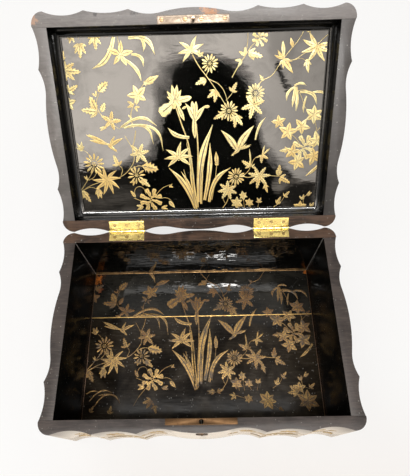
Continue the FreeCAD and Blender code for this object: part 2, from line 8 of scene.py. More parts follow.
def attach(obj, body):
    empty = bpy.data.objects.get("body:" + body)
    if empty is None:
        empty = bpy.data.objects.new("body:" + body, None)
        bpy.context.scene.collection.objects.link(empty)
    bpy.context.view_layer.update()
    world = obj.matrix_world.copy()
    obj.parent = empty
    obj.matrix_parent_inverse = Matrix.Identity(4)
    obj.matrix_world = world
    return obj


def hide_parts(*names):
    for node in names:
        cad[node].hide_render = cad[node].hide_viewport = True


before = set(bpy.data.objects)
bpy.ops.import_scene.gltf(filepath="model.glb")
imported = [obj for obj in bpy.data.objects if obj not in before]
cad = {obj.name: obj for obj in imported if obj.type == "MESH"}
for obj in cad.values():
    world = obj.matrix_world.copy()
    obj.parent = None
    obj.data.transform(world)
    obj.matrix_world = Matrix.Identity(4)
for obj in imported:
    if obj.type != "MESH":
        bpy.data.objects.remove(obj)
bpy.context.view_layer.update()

mm = 0.001
print("frame loaded,", len(cad), "nodes")

# the lid is modelled shut and then swung back to where it rests
hinge = {"y": 104.1, "z": 93.15, "open": 134.0}
hingePoint = Vector((0, hinge["y"], hinge["z"])) * mm
lidTurn = (Matrix.Translation(hingePoint)
           @ Matrix.Rotation(math.radians(-hinge["open"]), 4, "X")
           @ Matrix.Translation(-hingePoint))


# a place given in the shut lid, seen from inside: u to the right, v away from the hinge
def lidPlace(u, v, z):
    return lidTurn @ (Vector((u, -v, z)) * mm)


inside = {"x": 135.0, "y": 91.0, "floor": 8.0, "rim": 93.0, "lidRim": 93.3, "lidPanel": 114.3}


# ---- modelling helpers

def selectOnly(*pieces):
    if bpy.context.object and bpy.context.object.mode != "OBJECT":
        bpy.ops.object.mode_set(mode="OBJECT")
    bpy.ops.object.select_all(action="DESELECT")
    for piece in pieces:
        piece.select_set(True)
    bpy.context.view_layer.objects.active = pieces[0]


# opens the piece in edit mode with only what passes the test selected
def pick(piece, test, kind="VERT"):
    selectOnly(piece)
    bpy.ops.object.mode_set(mode="EDIT")
    bpy.ops.mesh.select_mode(type=kind)
    bpy.ops.mesh.select_all(action="DESELECT")
    bpy.ops.object.mode_set(mode="OBJECT")
    parts = {"VERT": piece.data.vertices, "EDGE": piece.data.edges,
             "FACE": piece.data.polygons}[kind]
    for part in parts:
        part.select = bool(test(part))
    bpy.ops.object.mode_set(mode="EDIT")


def leave():
    bpy.ops.object.mode_set(mode="OBJECT")


def apply(piece, kind, **settings):
    selectOnly(piece)
    modifier = piece.modifiers.new(kind.title(), kind)
    for key, value in settings.items():
        setattr(modifier, key, value)
    bpy.ops.object.modifier_apply(modifier=modifier.name)


# a copy of a CAD node with its triangles merged into plain faces and its edges eased
def easedCopy(node, name, width, segments=2, angle=30, edgeSlot=-1):
    piece = bpy.data.objects.new(name, cad[node].data.copy())
    piece.data.name = name
    bpy.context.scene.collection.objects.link(piece)
    piece.data.materials.clear()
    selectOnly(piece)
    bpy.ops.mesh.customdata_custom_splitnormals_clear()
    bpy.ops.object.mode_set(mode="EDIT")
    bpy.ops.mesh.select_all(action="SELECT")
    bpy.ops.mesh.remove_doubles(threshold=0.00001)
    bpy.ops.mesh.dissolve_limited(angle_limit=math.radians(0.4))
    leave()
    if width:
        apply(piece, "BEVEL", width=width * mm, segments=segments, limit_method="ANGLE",
              angle_limit=math.radians(angle), use_clamp_overlap=True, material=edgeSlot,
              profile=0.6)
    smooth(piece)
    return piece


def smooth(piece, angle=32):
    selectOnly(piece)
    bpy.ops.object.shade_smooth_by_angle(angle=math.radians(angle))


def finish(piece, body, slot, materials=(), replaced=()):
    for material in materials:
        piece.data.materials.append(material)
    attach(piece, body)
    if replaced:
        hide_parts(*replaced)
    return piece


# ---- material helpers

def put(tree, kind, inputs=None, **settings):
    node = tree.nodes.new("ShaderNode" + kind)
    for key, value in settings.items():
        setattr(node, key, value)
    for key, value in (inputs or {}).items():
        node.inputs[key].default_value = value
    return node


def wire(tree, source, target):
    tree.links.new(source, target)


def newGroup(name, inputs, outputs):
    tree = bpy.data.node_groups.new(name, "ShaderNodeTree")
    for label, kind, value in inputs:
        socket = tree.interface.new_socket(label, in_out="INPUT", socket_type="NodeSocket" + kind)
        if value is not None:
            socket.default_value = value
    for label, kind in outputs:
        tree.interface.new_socket(label, in_out="OUTPUT", socket_type="NodeSocket" + kind)
    return tree, tree.nodes.new("NodeGroupInput").outputs, tree.nodes.new("NodeGroupOutput").inputs


def math2(tree, operation, a, b=None, clamp=False):
    node = put(tree, "Math", operation=operation, use_clamp=clamp)
    for index, value in enumerate((a, b)):
        if value is None:
            continue
        if isinstance(value, (int, float)):
            node.inputs[index].default_value = value
        else:
            wire(tree, value, node.inputs[index])
    return node.outputs[0]


def blendColors(tree, factor, a, b, how="MIX"):
    node = put(tree, "Mix", data_type="RGBA", blend_type=how)
    for index, value in ((0, factor), (6, a), (7, b)):
        if isinstance(value, (int, float, tuple)):
            node.inputs[index].default_value = value
        else:
            wire(tree, value, node.inputs[index])
    return node.outputs[2]


# a value between low and high, by how far the source is from one level to another
def between(tree, source, start, end, low=0.0, high=1.0, how="SMOOTHSTEP"):
    node = put(tree, "MapRange", interpolation_type=how)
    wire(tree, source, node.inputs["Value"])
    for key, value in (("From Min", start), ("From Max", end), ("To Min", low), ("To Max", high)):
        node.inputs[key].default_value = value
    return node.outputs["Result"]


def noiseOf(tree, vector, scale, detail=4.0, rough=0.55, warp=0.0, stretch=None):
    if stretch:
        mapping = put(tree, "Mapping", {"Scale": stretch})
        wire(tree, vector, mapping.inputs["Vector"])
        vector = mapping.outputs["Vector"]
    node = put(tree, "TexNoise", {"Detail": detail, "Roughness": rough, "Distortion": warp})
    if isinstance(scale, (int, float)):
        node.inputs["Scale"].default_value = scale
    else:
        wire(tree, scale, node.inputs["Scale"])
    wire(tree, vector, node.inputs["Vector"])
    return node.outputs["Fac"]


def newMaterial(name, **settings):
    material = bpy.data.materials.new(name)
    material.use_nodes = True
    tree = material.node_tree
    shader = tree.nodes["Principled BSDF"]
    for key, value in settings.items():
        shader.inputs[key.replace("_", " ")].default_value = value
    return material, tree, shader


def place(tree, group, values):
    node = put(tree, "Group")
    node.node_tree = group
    for key, value in values.items():
        node.inputs[key].default_value = value
    return node


def bumpInto(tree, shader, height, distance, strength=1.0, socket="Normal"):
    bump = put(tree, "Bump", {"Strength": strength, "Distance": distance})
    wire(tree, height, bump.inputs["Height"])
    wire(tree, bump.outputs["Normal"], shader.inputs[socket])
    return bump


# old lacquer: cloudy tone, fine rubbing one way, pale specks of dust, and a wavy skin
def makeLacquerGroup():
    tree, given, out = newGroup(
        "oldLacquer",
        [("Vector", "Vector", None), ("Deep", "Color", (0.005, 0.005, 0.004, 1)),
         ("Hazed", "Color", (0.03, 0.027, 0.025, 1)), ("Specks", "Float", 0.2),
         ("Rubbing", "Float", 0.3), ("Smooth", "Float", 0.12), ("Dull", "Float", 0.3),
         ("Ripple", "Float", 0.1), ("Grain", "Float", 95.0)],
        [("Color", "Color"), ("Roughness", "Float"), ("Height", "Float")])
    vector = given["Vector"]
    cloud = noiseOf(tree, vector, 26, 5, 0.6, 0.6)
    streak = noiseOf(tree, vector, 60, 6, 0.65, 0.2, (1.0, 9.0, 9.0))
    rub = math2(tree, "MULTIPLY", between(tree, streak, 0.42, 0.72), given["Rubbing"])
    haze = math2(tree, "ADD", math2(tree, "MULTIPLY", between(tree, cloud, 0.36, 0.66), 0.75),
                 rub, True)
    color = blendColors(tree, haze, given["Deep"], given["Hazed"])
    cells = put(tree, "TexVoronoi", {"Scale": 330.0, "Randomness": 1.0})
    wire(tree, vector, cells.inputs["Vector"])
    chosen = between(tree, noiseOf(tree, vector, 190, 2), 0.56, 0.64)
    speck = math2(tree, "MULTIPLY", between(tree, cells.outputs["Distance"], 0.16, 0.30, 1.0, 0.0),
                  chosen)
    speck = math2(tree, "MULTIPLY", speck, given["Specks"], True)
    wire(tree, blendColors(tree, speck, color, (0.30, 0.28, 0.25, 1)), out["Color"])
    dull = math2(tree, "MAXIMUM", haze, speck)
    rough = put(tree, "Mix", data_type="FLOAT")
    wire(tree, dull, rough.inputs[0])
    wire(tree, given["Smooth"], rough.inputs[2])
    wire(tree, given["Dull"], rough.inputs[3])
    wire(tree, rough.outputs[0], out["Roughness"])
    wave = noiseOf(tree, vector, 22, 1, 0.4, 0.3)
    ripple = noiseOf(tree, vector, given["Grain"], 1, 0.2, 0.8, (0.8, 3.2, 3.2))
    pits = noiseOf(tree, vector, 420, 3, 0.6)
    height = math2(tree, "ADD", wave, math2(tree, "MULTIPLY", ripple, given["Ripple"]))
    height = math2(tree, "ADD", height, math2(tree, "MULTIPLY", pits, 0.006))
    brushed = math2(tree, "MULTIPLY", streak, math2(tree, "MULTIPLY", given["Dull"], 0.02))
    height = math2(tree, "ADD", height, brushed)
    wire(tree, height, out["Height"])
    return tree


lacquerGroup = makeLacquerGroup()


# a ragged patch round one place, where the lacquer is bruised or worn through
def makeSpotGroup():
    tree, given, out = newGroup("wornSpot", [("Vector", "Vector", None), ("Place", "Vector", None),
                                             ("Reach", "Float", 0.005)], [("Mask", "Float")])
    ragged = noiseOf(tree, given["Vector"], 300, 5, 0.7)
    away = put(tree, "VectorMath", operation="DISTANCE")
    wire(tree, given["Vector"], away.inputs[0])
    wire(tree, given["Place"], away.inputs[1])
    share = math2(tree, "DIVIDE", away.outputs["Value"], given["Reach"])
    share = math2(tree, "ADD", share, math2(tree, "MULTIPLY", ragged, 4.0))
    wire(tree, between(tree, share, 2.3, 3.0, 0.85, 0.0), out["Mask"])
    return tree


spotGroup = makeSpotGroup()


def lacquer(name, deep, hazed, smoothness, dull, specks=0.2, rubbing=0.3, wave=0.02,
            ripple=0.1, specular=0.5, coat=0.0, coatRoughness=0.05, spots=(), grain=95.0,
            patchy=0.0, hingeShade=0.0, coatSpan=None, coatIor=1.5):
    material, tree, shader = newMaterial(name, Specular_IOR_Level=specular, Coat_Weight=coat,
                                         Coat_Roughness=coatRoughness, Coat_IOR=coatIor)
    where = put(tree, "TexCoord").outputs["Object"]
    split = put(tree, "SeparateXYZ")
    wire(tree, where, split.inputs[0])
    age = place(tree, lacquerGroup, {"Deep": deep + (1,), "Hazed": hazed + (1,),
                                     "Specks": specks, "Rubbing": rubbing,
                                     "Smooth": smoothness, "Dull": dull, "Ripple": ripple,
                                     "Grain": grain})
    wire(tree, where, age.inputs["Vector"])
    color = age.outputs["Color"]
    for centre, reach, tone in spots:
        spot = place(tree, spotGroup, {"Place": centre, "Reach": reach * mm})
        wire(tree, where, spot.inputs["Vector"])
        color = blendColors(tree, spot.outputs["Mask"], color, tone + (1,))
    if hingeShade:  # painted shade: darker towards the hinges, where less light falls
        low = between(tree, split.outputs["Z"], 0.105, 0.165, hingeShade, 0.0)
        color = blendColors(tree, low, color, tuple(v * 0.1 for v in deep) + (1,))
    wire(tree, color, shader.inputs["Base Color"])
    wire(tree, age.outputs["Roughness"], shader.inputs["Roughness"])
    bump = bumpInto(tree, shader, age.outputs["Height"], wave * mm)
    if coat:
        wire(tree, bump.outputs["Normal"], shader.inputs["Coat Normal"])
    if patchy:  # the gloss has gone dull in clouds
        cloud = noiseOf(tree, where, 22, 5, 0.68, 0.7)
        wire(tree, between(tree, cloud, 0.40, 0.66, 1.0, 1.0 - patchy), shader.inputs["Coat Weight"])
    if coatSpan:  # glossy only along the hinge side
        wire(tree, between(tree, split.outputs["Z"], *coatSpan), shader.inputs["Coat Weight"])
    return material


bareWood, bruise = (0.50, 0.20, 0.06), (0.035, 0.030, 0.028)
# painted light: the lid's rails get lighter tones than the box's rims, standing in for the light they catch; the right
# rail is a darker copy, a painted shade
lidRimLitLacquer = lacquer(
    "lidRimLitLacquer", (0.079, 0.068, 0.061), (0.182, 0.160, 0.149), 0.42, 0.6, specks=0.6,
    rubbing=0.8, wave=0.15, specular=0.4,
    spots=((lidPlace(12, 101, 93.3), 6, bareWood), (lidPlace(19, 99, 93.3), 5, bareWood),
           (lidPlace(-146, 97, 93.3), 5, (0.42, 0.24, 0.15)), (lidPlace(-53, 102, 93.3), 5, bruise),
           (lidPlace(-89, 101, 93.3), 2.6, bruise), (lidPlace(-150, 0, 93.3), 3, bruise),
           (lidPlace(143, 22, 93.3), 3.5, bruise)))
leftRimLitLacquer = lacquer("leftRimLitLacquer", (0.076, 0.065, 0.058), (0.176, 0.155, 0.144), 0.42, 0.6,
                         specks=0.6, rubbing=0.25, wave=0.15, specular=0.4, hingeShade=0.5,
                         spots=((lidPlace(-150, 0, 93.3), 3, bruise),))
rightRimShadedLacquer = lacquer("rightRimShadedLacquer", (0.034, 0.028, 0.025), (0.080, 0.069, 0.064), 0.42,
                          0.6, specks=0.6, rubbing=0.25, wave=0.15, specular=0.25, hingeShade=0.5,
                          spots=((lidPlace(143, 22, 93.3), 3.5, bruise),))
boxRimLacquer = lacquer("boxRimLacquer", (0.022, 0.016, 0.0135), (0.062, 0.046, 0.039), 0.44, 0.6,
                        specks=0.5, rubbing=0.8, wave=0.15, specular=0.2)
hingeRimLacquer = lacquer("hingeRimLacquer", (0.020, 0.012, 0.008), (0.098, 0.052, 0.030), 0.44,
                          0.6, specks=0.5, rubbing=0.8, wave=0.15, specular=0.18)
wallLacquer = lacquer("wallLacquer", (0.0012, 0.0012, 0.0010), (0.003, 0.003, 0.0024), 0.0, 0.03,
                      specks=0.10, wave=0.4, ripple=0.9, specular=0.2, grain=62.0)
sideLacquer = lacquer("sideLacquer", (0.0012, 0.0012, 0.0012), (0.003, 0.003, 0.0025), 0.16, 0.28,
                      specks=0.10, wave=0.5, ripple=0.3, specular=0.04)
outsideLacquer = lacquer("outsideLacquer", (0.005, 0.004, 0.004), (0.014, 0.011, 0.010),
                         0.10, 0.20, specks=0.1, wave=0.15, specular=0.8, coat=1.0,
                         coatRoughness=0.10)
lidTopLacquer = lacquer("lidTopLacquer", (0.005, 0.004, 0.004), (0.014, 0.011, 0.010),
                        0.10, 0.26, specks=0.1, wave=0.15, specular=0.3, coat=0.2)
rust, ember = (0.30, 0.09, 0.035), (0.70, 0.20, 0.03)
panelLacquer = lacquer("panelLacquer", (0.0015, 0.0015, 0.0012), (0.004, 0.004, 0.003), 0.02, 0.06,
                       specks=0.12, wave=0.3, ripple=0.05, specular=0.7, coat=1.0,
                       coatRoughness=0.01, patchy=0.7,
                       spots=[(lidPlace(u, v, inside["lidPanel"]), reach, rust) for u, v, reach in (
                           (-124, 88, 4), (-112, 90, 5), (-96, 88, 5), (-84, 90, 4), (62, 89, 4),
                           (74, 90, 5), (112, 91, 4), (-8, 90, 3))])
coveLacquer = lacquer("coveLacquer", (0.0015, 0.0015, 0.0012), (0.004, 0.004, 0.003), 0.10, 0.20,
                      specks=0.12, wave=0.3, ripple=0.2, specular=0.2, coat=1.0,
                      coatRoughness=0.06, coatIor=2.1, coatSpan=(0.094, 0.101, 1.0, 0.10))
floorLacquer = lacquer("floorLacquer", (0.008, 0.006, 0.0042), (0.040, 0.030, 0.019), 0.14, 0.30,
                       specks=0.5, wave=0.2, ripple=0.2, specular=0.16)
backFloorLacquer = lacquer("backFloorLacquer", (0.012, 0.011, 0.009), (0.042, 0.038, 0.030),
                           0.0, 0.04, specks=0.4, wave=0.10, ripple=0.5, specular=0.6, grain=62.0,
                           spots=((Vector((-131, 83, 8)) * mm, 7, ember),
                                  (Vector((-128, 69, 8)) * mm, 4, rust),
                                  (Vector((133, 88, 8)) * mm, 3.5, ember)))
wornEdge = lacquer("wornEdge", (0.030, 0.020, 0.015), (0.15, 0.085, 0.05), 0.4, 0.55,
                   specks=0.2, rubbing=0.7, wave=0.03)
print("lacquers ready")


# metal with a dull tarnish that gathers in clouds and fine scratches
def makeMetalGroup():
    tree, given, out = newGroup(
        "agedMetal",
        [("Vector", "Vector", None), ("Bright", "Color", (0.9, 0.7, 0.3, 1)),
         ("Tarnish", "Color", (0.4, 0.25, 0.1, 1)), ("Amount", "Float", 0.5),
         ("Smooth", "Float", 0.25), ("Dull", "Float", 0.5)],
        [("Color", "Color"), ("Roughness", "Float"), ("Height", "Float")])
    vector = given["Vector"]
    cloud = noiseOf(tree, vector, 160, 6, 0.65, 0.8)
    scratch = noiseOf(tree, vector, 500, 4, 0.6, 0.0, (0.12, 1.0, 1.0))
    mask = math2(tree, "MULTIPLY", between(tree, cloud, 0.40, 0.68), given["Amount"], True)
    tone = blendColors(tree, mask, given["Bright"], given["Tarnish"])
    fine = between(tree, scratch, 0.3, 0.7, 0.82, 1.06, "LINEAR")
    joined = put(tree, "Mix", {0: 1.0}, data_type="RGBA", blend_type="MULTIPLY")
    wire(tree, tone, joined.inputs[6])
    grey = put(tree, "CombineColor")
    for index in range(3):
        wire(tree, fine, grey.inputs[index])
    wire(tree, grey.outputs[0], joined.inputs[7])
    wire(tree, joined.outputs[2], out["Color"])
    rough = put(tree, "Mix", data_type="FLOAT")
    wire(tree, mask, rough.inputs[0])
    wire(tree, given["Smooth"], rough.inputs[2])
    wire(tree, given["Dull"], rough.inputs[3])
    wire(tree, rough.outputs[0], out["Roughness"])
    wire(tree, math2(tree, "ADD", scratch, math2(tree, "MULTIPLY", cloud, 0.6)), out["Height"])
    return tree


metalGroup = makeMetalGroup()


def metal(name, bright, tarnish, amount=0.5, smoothness=0.25, dull=0.5, grain=0.012, metallic=1.0):
    material, tree, shader = newMaterial(name, Metallic=metallic)
    age = place(tree, metalGroup, {"Bright": bright + (1,), "Tarnish": tarnish + (1,),
                                   "Amount": amount, "Smooth": smoothness, "Dull": dull})
    wire(tree, put(tree, "TexCoord").outputs["Object"], age.inputs["Vector"])
    wire(tree, age.outputs["Color"], shader.inputs["Base Color"])
    wire(tree, age.outputs["Roughness"], shader.inputs["Roughness"])
    bumpInto(tree, shader, age.outputs["Height"], grain * mm)
    return material


hingeBrass = metal("hingeBrass", (0.63, 0.50, 0.18), (0.43, 0.29, 0.085), 0.5, 0.24, 0.42)
screwBrass = metal("screwBrass", (0.34, 0.25, 0.10), (0.10, 0.06, 0.025), 0.8, 0.3, 0.5)
strikeBrass = metal("strikeBrass", (0.094, 0.076, 0.060), (0.066, 0.050, 0.036), 0.6, 0.38, 0.55)
strikeScrewBrass = metal("strikeScrewBrass", (0.13, 0.09, 0.05), (0.05, 0.03, 0.02), 0.7, 0.3, 0.5)
lockBrass = metal("lockBrass", (0.048, 0.027, 0.013), (0.030, 0.016, 0.008), 0.6, 0.42, 0.6)
studIron = metal("studIron", (0.16, 0.11, 0.07), (0.06, 0.04, 0.03), 0.6, 0.2, 0.45)
lockIron = metal("lockIron", (0.20, 0.18, 0.16), (0.10, 0.06, 0.04), 0.7, 0.35, 0.6)
print("metals ready")


# ---- the wooden parts, eased and lacquered

easing = {"rimEdge": 0.45, "railEdge": 0.45, "floorEdge": 0.25, "segments": 2}


def underLid(point):
    return lidTurn.inverted() @ point


def paintWall(piece):
    for face in piece.data.polygons:
        if face.material_index == 3:
            continue
        middle, normal = face.center / mm, face.normal
        if normal.z > 0.9 and middle.z > inside["rim"] - 0.6:
            face.material_index = 0
        elif abs(middle.x) < inside["x"] + 0.3 and abs(middle.y) < inside["y"] + 0.3:
            face.material_index = 1
        else:
            face.material_index = 2


def paintRail(piece):
    for face in piece.data.polygons:
        if face.material_index == 3:
            continue
        middle = underLid(face.center) / mm
        normal = lidTurn.inverted().to_3x3() @ face.normal
        if normal.z < -0.9 and middle.z < inside["lidRim"] + 0.6:
            face.material_index = 0
        elif abs(middle.x) < inside["x"] + 0.3 and abs(middle.y) < inside["y"] + 0.3:
            face.material_index = 1
        else:
            face.material_index = 2


def woodMaterials(rim, inner):
    return rim, inner, outsideLacquer, wornEdge


for node in ("front_wall", "back_wall", "left_wall", "right_wall"):
    piece = easedCopy(node, node + "_lacquered", easing["rimEdge"], easing["segments"], edgeSlot=3)
    rim = hingeRimLacquer if node == "back_wall" else boxRimLacquer
    inner = sideLacquer if "left" in node or "right" in node else wallLacquer
    finish(piece, "box", "black_lacquer", woodMaterials(rim, inner), [node])
    paintWall(piece)
for node in ("lid_front_rail", "lid_back_rail", "lid_left_rail", "lid_right_rail"):
    piece = easedCopy(node, node + "_lacquered", easing["railEdge"], easing["segments"], edgeSlot=3)
    rim = {"lid_back_rail": hingeRimLacquer, "lid_left_rail": leftRimLitLacquer,
           "lid_right_rail": rightRimShadedLacquer}.get(node, lidRimLitLacquer)
    finish(piece, "lid", "black_lacquer", woodMaterials(rim, sideLacquer), [node])
    paintRail(piece)
piece = easedCopy("lid_top_board", "lid_top_lacquered", 0)
finish(piece, "lid", "black_lacquer", (lidTopLacquer,), ["lid_top_board"])
for node in ("floor_board_front", "floor_board_back"):
    piece = easedCopy(node, node + "_lacquered", easing["floorEdge"])
    tone = backFloorLacquer if "back" in node else floorLacquer
    finish(piece, "box", "floor_lacquer", (tone,), [node])
piece = easedCopy("lid_panel", "lid_panel_lacquered", 0)
finish(piece, "lid", "panel_lacquer", (panelLacquer,), ["lid_panel"])
piece = easedCopy("lid_cove_moulding", "lid_cove_lacquered", 0)
finish(piece, "lid", "black_lacquer", (coveLacquer,), ["lid_cove_moulding"])
print("wooden parts ready")


# ---- hinges, lock and strike

fitting = {"leafEdge": 0.15, "plateEdge": 0.15, "screwEdge": 0.06}
for side in ("left", "right"):
    for leaf, body in (("hinge_box_leaf", "box"), ("hinge_lid_leaf", "lid"), ("hinge_pin", "box")):
        node = side + "_" + leaf
        finish(easedCopy(node, node + "_polished", fitting["leafEdge"]), body,
               "bright_brass", (hingeBrass,), [node])
for node, body, slot, material, width in (
        ("hinge_box_screws", "box", "bright_brass", screwBrass, fitting["screwEdge"]),
        ("hinge_lid_screws", "lid", "bright_brass", screwBrass, fitting["screwEdge"]),
        ("strike_plate", "lid", "pale_brass", strikeBrass, fitting["plateEdge"]),
        ("strike_screws", "lid", "pale_brass", strikeScrewBrass, fitting["screwEdge"]),
        ("strike_stud", "lid", "iron", studIron, fitting["plateEdge"]),
        ("lock_plate", "box", "aged_brass", lockBrass, fitting["plateEdge"]),
        ("lock_screws", "box", "aged_brass", lockBrass, fitting["screwEdge"]),
        ("keyhole_escutcheon", "box", "aged_brass", lockBrass, 0.12),
        ("escutcheon_pins", "box", "aged_brass", lockBrass, 0)):
    finish(easedCopy(node, node + "_finished", width), body, slot, (material,), [node])
for node in ("lock_case", "lock_key_post", "bolt_guide_post", "bolt_spring", "lock_bolt"):
    cad[node].data.materials.clear()
    cad[node].data.materials.append(lockIron)
print("fittings ready")


# ---- gold drawing: leaves, petals and dots modelled once, then laid out in sprays

def makeGoldGroup():
    tree, given, out = newGroup(
        "goldBrush",
        [("Vector", "Vector", None), ("UV", "Vector", None), ("Tone", "Float", 0.5),
         ("Light", "Color", (0.95, 0.78, 0.36, 1)), ("Deep", "Color", (0.72, 0.42, 0.12, 1)),
         ("Line", "Color", (0.12, 0.06, 0.02, 1)), ("Worn", "Float", 0.3),
         ("Metal", "Float", 0.85)],
        [("Color", "Color"), ("Metallic", "Float"), ("Roughness", "Float"), ("Height", "Float")])
    split = put(tree, "SeparateXYZ")
    wire(tree, given["UV"], split.inputs[0])
    across = math2(tree, "ABSOLUTE", math2(tree, "SUBTRACT", split.outputs["X"], 0.5))
    along = split.outputs["Y"]
    rib = between(tree, across, 0.03, 0.11, 1.0, 0.0)
    rib = math2(tree, "MULTIPLY", rib, between(tree, along, 0.75, 0.95, 1.0, 0.0))
    slant = math2(tree, "SUBTRACT", math2(tree, "MULTIPLY", along, 30.0),
                  math2(tree, "MULTIPLY", across, 30.0))
    veins = between(tree, math2(tree, "SINE", slant), 0.50, 0.90, 0.0, 0.75)
    veins = math2(tree, "MULTIPLY", veins, between(tree, across, 0.30, 0.44, 1.0, 0.0))
    # the dark outline at each leaf's edge is partly the drawn line and partly a painted shadow line round the raised
    # gold
    outline = between(tree, across, 0.38, 0.47, 0.0, 0.9)
    drawn = math2(tree, "MAXIMUM", outline, math2(tree, "MAXIMUM", rib, veins))
    cloud = noiseOf(tree, given["Vector"], 240, 4, 0.6)
    rubbed = math2(tree, "MAXIMUM", between(tree, noiseOf(tree, given["Vector"], 620, 5, 0.7),
                                            0.50, 0.62),
                   between(tree, noiseOf(tree, given["Vector"], 70, 4, 0.7), 0.52, 0.66, 0.0, 0.8))
    rubbed = math2(tree, "MULTIPLY", rubbed, given["Worn"], True)
    shade = math2(tree, "ADD", math2(tree, "MULTIPLY", between(tree, cloud, 0.35, 0.68), 0.5),
                  math2(tree, "MULTIPLY", given["Tone"], 0.6), True)
    tone = blendColors(tree, shade, given["Light"], given["Deep"])
    tone = blendColors(tree, math2(tree, "MULTIPLY", drawn, 0.95), tone, given["Line"])
    tone = blendColors(tree, rubbed, tone, given["Line"])
    wire(tree, tone, out["Color"])
    bare = math2(tree, "SUBTRACT", 1.0, math2(tree, "MAXIMUM", drawn, rubbed), True)
    wire(tree, math2(tree, "MULTIPLY", bare, given["Metal"]), out["Metallic"])
    wire(tree, between(tree, cloud, 0.3, 0.7, 0.38, 0.56), out["Roughness"])
    wire(tree, math2(tree, "SUBTRACT", math2(tree, "MULTIPLY", cloud, 0.4), drawn), out["Height"])
    return tree


goldGroup = makeGoldGroup()


def gold(name, light, deep, line, worn, metallic):
    material, tree, shader = newMaterial(name)
    brush = place(tree, goldGroup, {"Light": light + (1,), "Deep": deep + (1,),
                                    "Line": line + (1,), "Worn": worn, "Metal": metallic})
    wire(tree, brush.outputs["Metallic"], shader.inputs["Metallic"])
    wire(tree, put(tree, "TexCoord").outputs["Object"], brush.inputs["Vector"])
    wire(tree, put(tree, "UVMap", uv_map="UVMap").outputs[0], brush.inputs["UV"])
    wire(tree, put(tree, "Attribute", attribute_name="tone").outputs["Fac"], brush.inputs["Tone"])
    wire(tree, brush.outputs["Color"], shader.inputs["Base Color"])
    wire(tree, brush.outputs["Roughness"], shader.inputs["Roughness"])
    bumpInto(tree, shader, brush.outputs["Height"], 0.03 * mm)
    return material


lidGold = gold("lidGold", (0.64, 0.56, 0.25), (0.50, 0.335, 0.085), (0.05, 0.032, 0.010), 0.25,
               0.45)
floorGold = gold("floorGold", (0.46, 0.29, 0.09), (0.17, 0.08, 0.018), (0.02, 0.012, 0.005), 0.95,
                 0.85)
outsideGold = gold("outsideGold", (0.70, 0.52, 0.22), (0.50, 0.32, 0.11), (0.26, 0.16, 0.06), 0.4,
                   0.8)

# across each leaf the rows are squeezed to a width, so the outline is drawn by these numbers
leafShapes = {
    "leaf": {"widths": (0.10, 0.62, 0.95, 1.0, 0.86, 0.62, 0.34, 0.04), "width": 0.36},
    "curled": {"widths": (0.10, 0.55, 0.90, 1.0, 0.88, 0.66, 0.36, 0.04), "width": 0.30,
               "bow": 0.28},
    "blade": {"widths": (0.25, 0.50, 0.78, 0.96, 1.0, 0.86, 0.52, 0.04), "width": 0.16},
    "petal": {"widths": (0.20, 0.44, 0.66, 0.86, 1.0, 0.94, 0.72, 0.20), "width": 0.36},
    "toothed": {"widths": (0.08, 0.50, 0.96, 0.54, 1.0, 0.52, 0.84, 0.38, 0.52, 0.18, 0.03),
                "width": 0.56, "barb": 0.08},
    "ruffle": {"widths": (0.16, 0.30, 0.50, 0.76, 1.0, 0.90, 1.02, 0.60), "width": 0.62}}
relief = {"thickness": 0.16, "crown": 0.10, "sunk": 0.03, "columns": 4}


def makeLeaf(name, widths, width, bow=0.0, barb=0.0):
    rows = len(widths) - 1
    bpy.ops.mesh.primitive_grid_add(x_subdivisions=relief["columns"], y_subdivisions=rows,
                                    size=1, location=(0, 0.5, 0), calc_uvs=True)
    leaf = bpy.context.object
    leaf.name = name
    bpy.ops.object.transform_apply(location=True)
    for row, share in enumerate(widths):
        level = row / rows
        pick(leaf, lambda v: abs(v.co.y - level) < 0.01)
        bpy.ops.transform.resize(value=(share * width, 1, 1), center_override=(0, level, 0))
        leave()
        # teeth lean towards the tip
        if barb and row and share > widths[row - 1]:
            pick(leaf, lambda v: abs(v.co.y - level) < 0.01 and abs(v.co.x) > 0.4 * share * width)
            bpy.ops.transform.translate(value=(0, barb, 0))
            leave()
    # the middle stands a little higher than the edges
    pick(leaf, lambda v: abs(v.co.x) < 0.3 * width and 0.02 < v.co.y < 0.98)
    bpy.ops.transform.translate(value=(0, 0, 0.4))
    leave()
    pick(leaf, lambda v: abs(v.co.x) < 0.0001 and 0.02 < v.co.y < 0.98)
    bpy.ops.transform.translate(value=(0, 0, 0.6))
    leave()
    for row in range(1, rows + 1) if bow else ():
        level = row / rows
        pick(leaf, lambda v: abs(v.co.y - level) < 0.01)
        bpy.ops.transform.translate(value=(bow * level ** 2, 0, 0))
        leave()
    pick(leaf, lambda v: True)
    bpy.ops.mesh.extrude_region_move(TRANSFORM_OT_translate={"value": (0, 0, -10)})
    leave()
    pick(leaf, lambda v: v.co.z < -5)
    bpy.ops.transform.resize(value=(1, 1, 0), center_override=(0, 0, -10))
    bpy.ops.mesh.select_all(action="SELECT")
    bpy.ops.mesh.normals_make_consistent(inside=False)
    leave()
    smooth(leaf, 60)
    return leaf


def makeDot(name):
    bpy.ops.mesh.primitive_uv_sphere_add(segments=8, ring_count=6, radius=0.5, location=(0, 0, 0))
    dot = bpy.context.object
    dot.name = name
    pick(dot, lambda v: v.co.z < -0.01)
    bpy.ops.mesh.delete(type="VERT")
    bpy.ops.mesh.select_all(action="DESELECT")
    leave()
    pick(dot, lambda e: all(dot.data.vertices[i].co.z < 0.01 for i in e.vertices), "EDGE")
    bpy.ops.mesh.extrude_region_move(TRANSFORM_OT_translate={"value": (0, 0, -10)})
    bpy.ops.mesh.edge_face_add()
    bpy.ops.mesh.select_all(action="SELECT")
    bpy.ops.mesh.normals_make_consistent(inside=False)
    leave()
    smooth(dot, 60)
    return dot


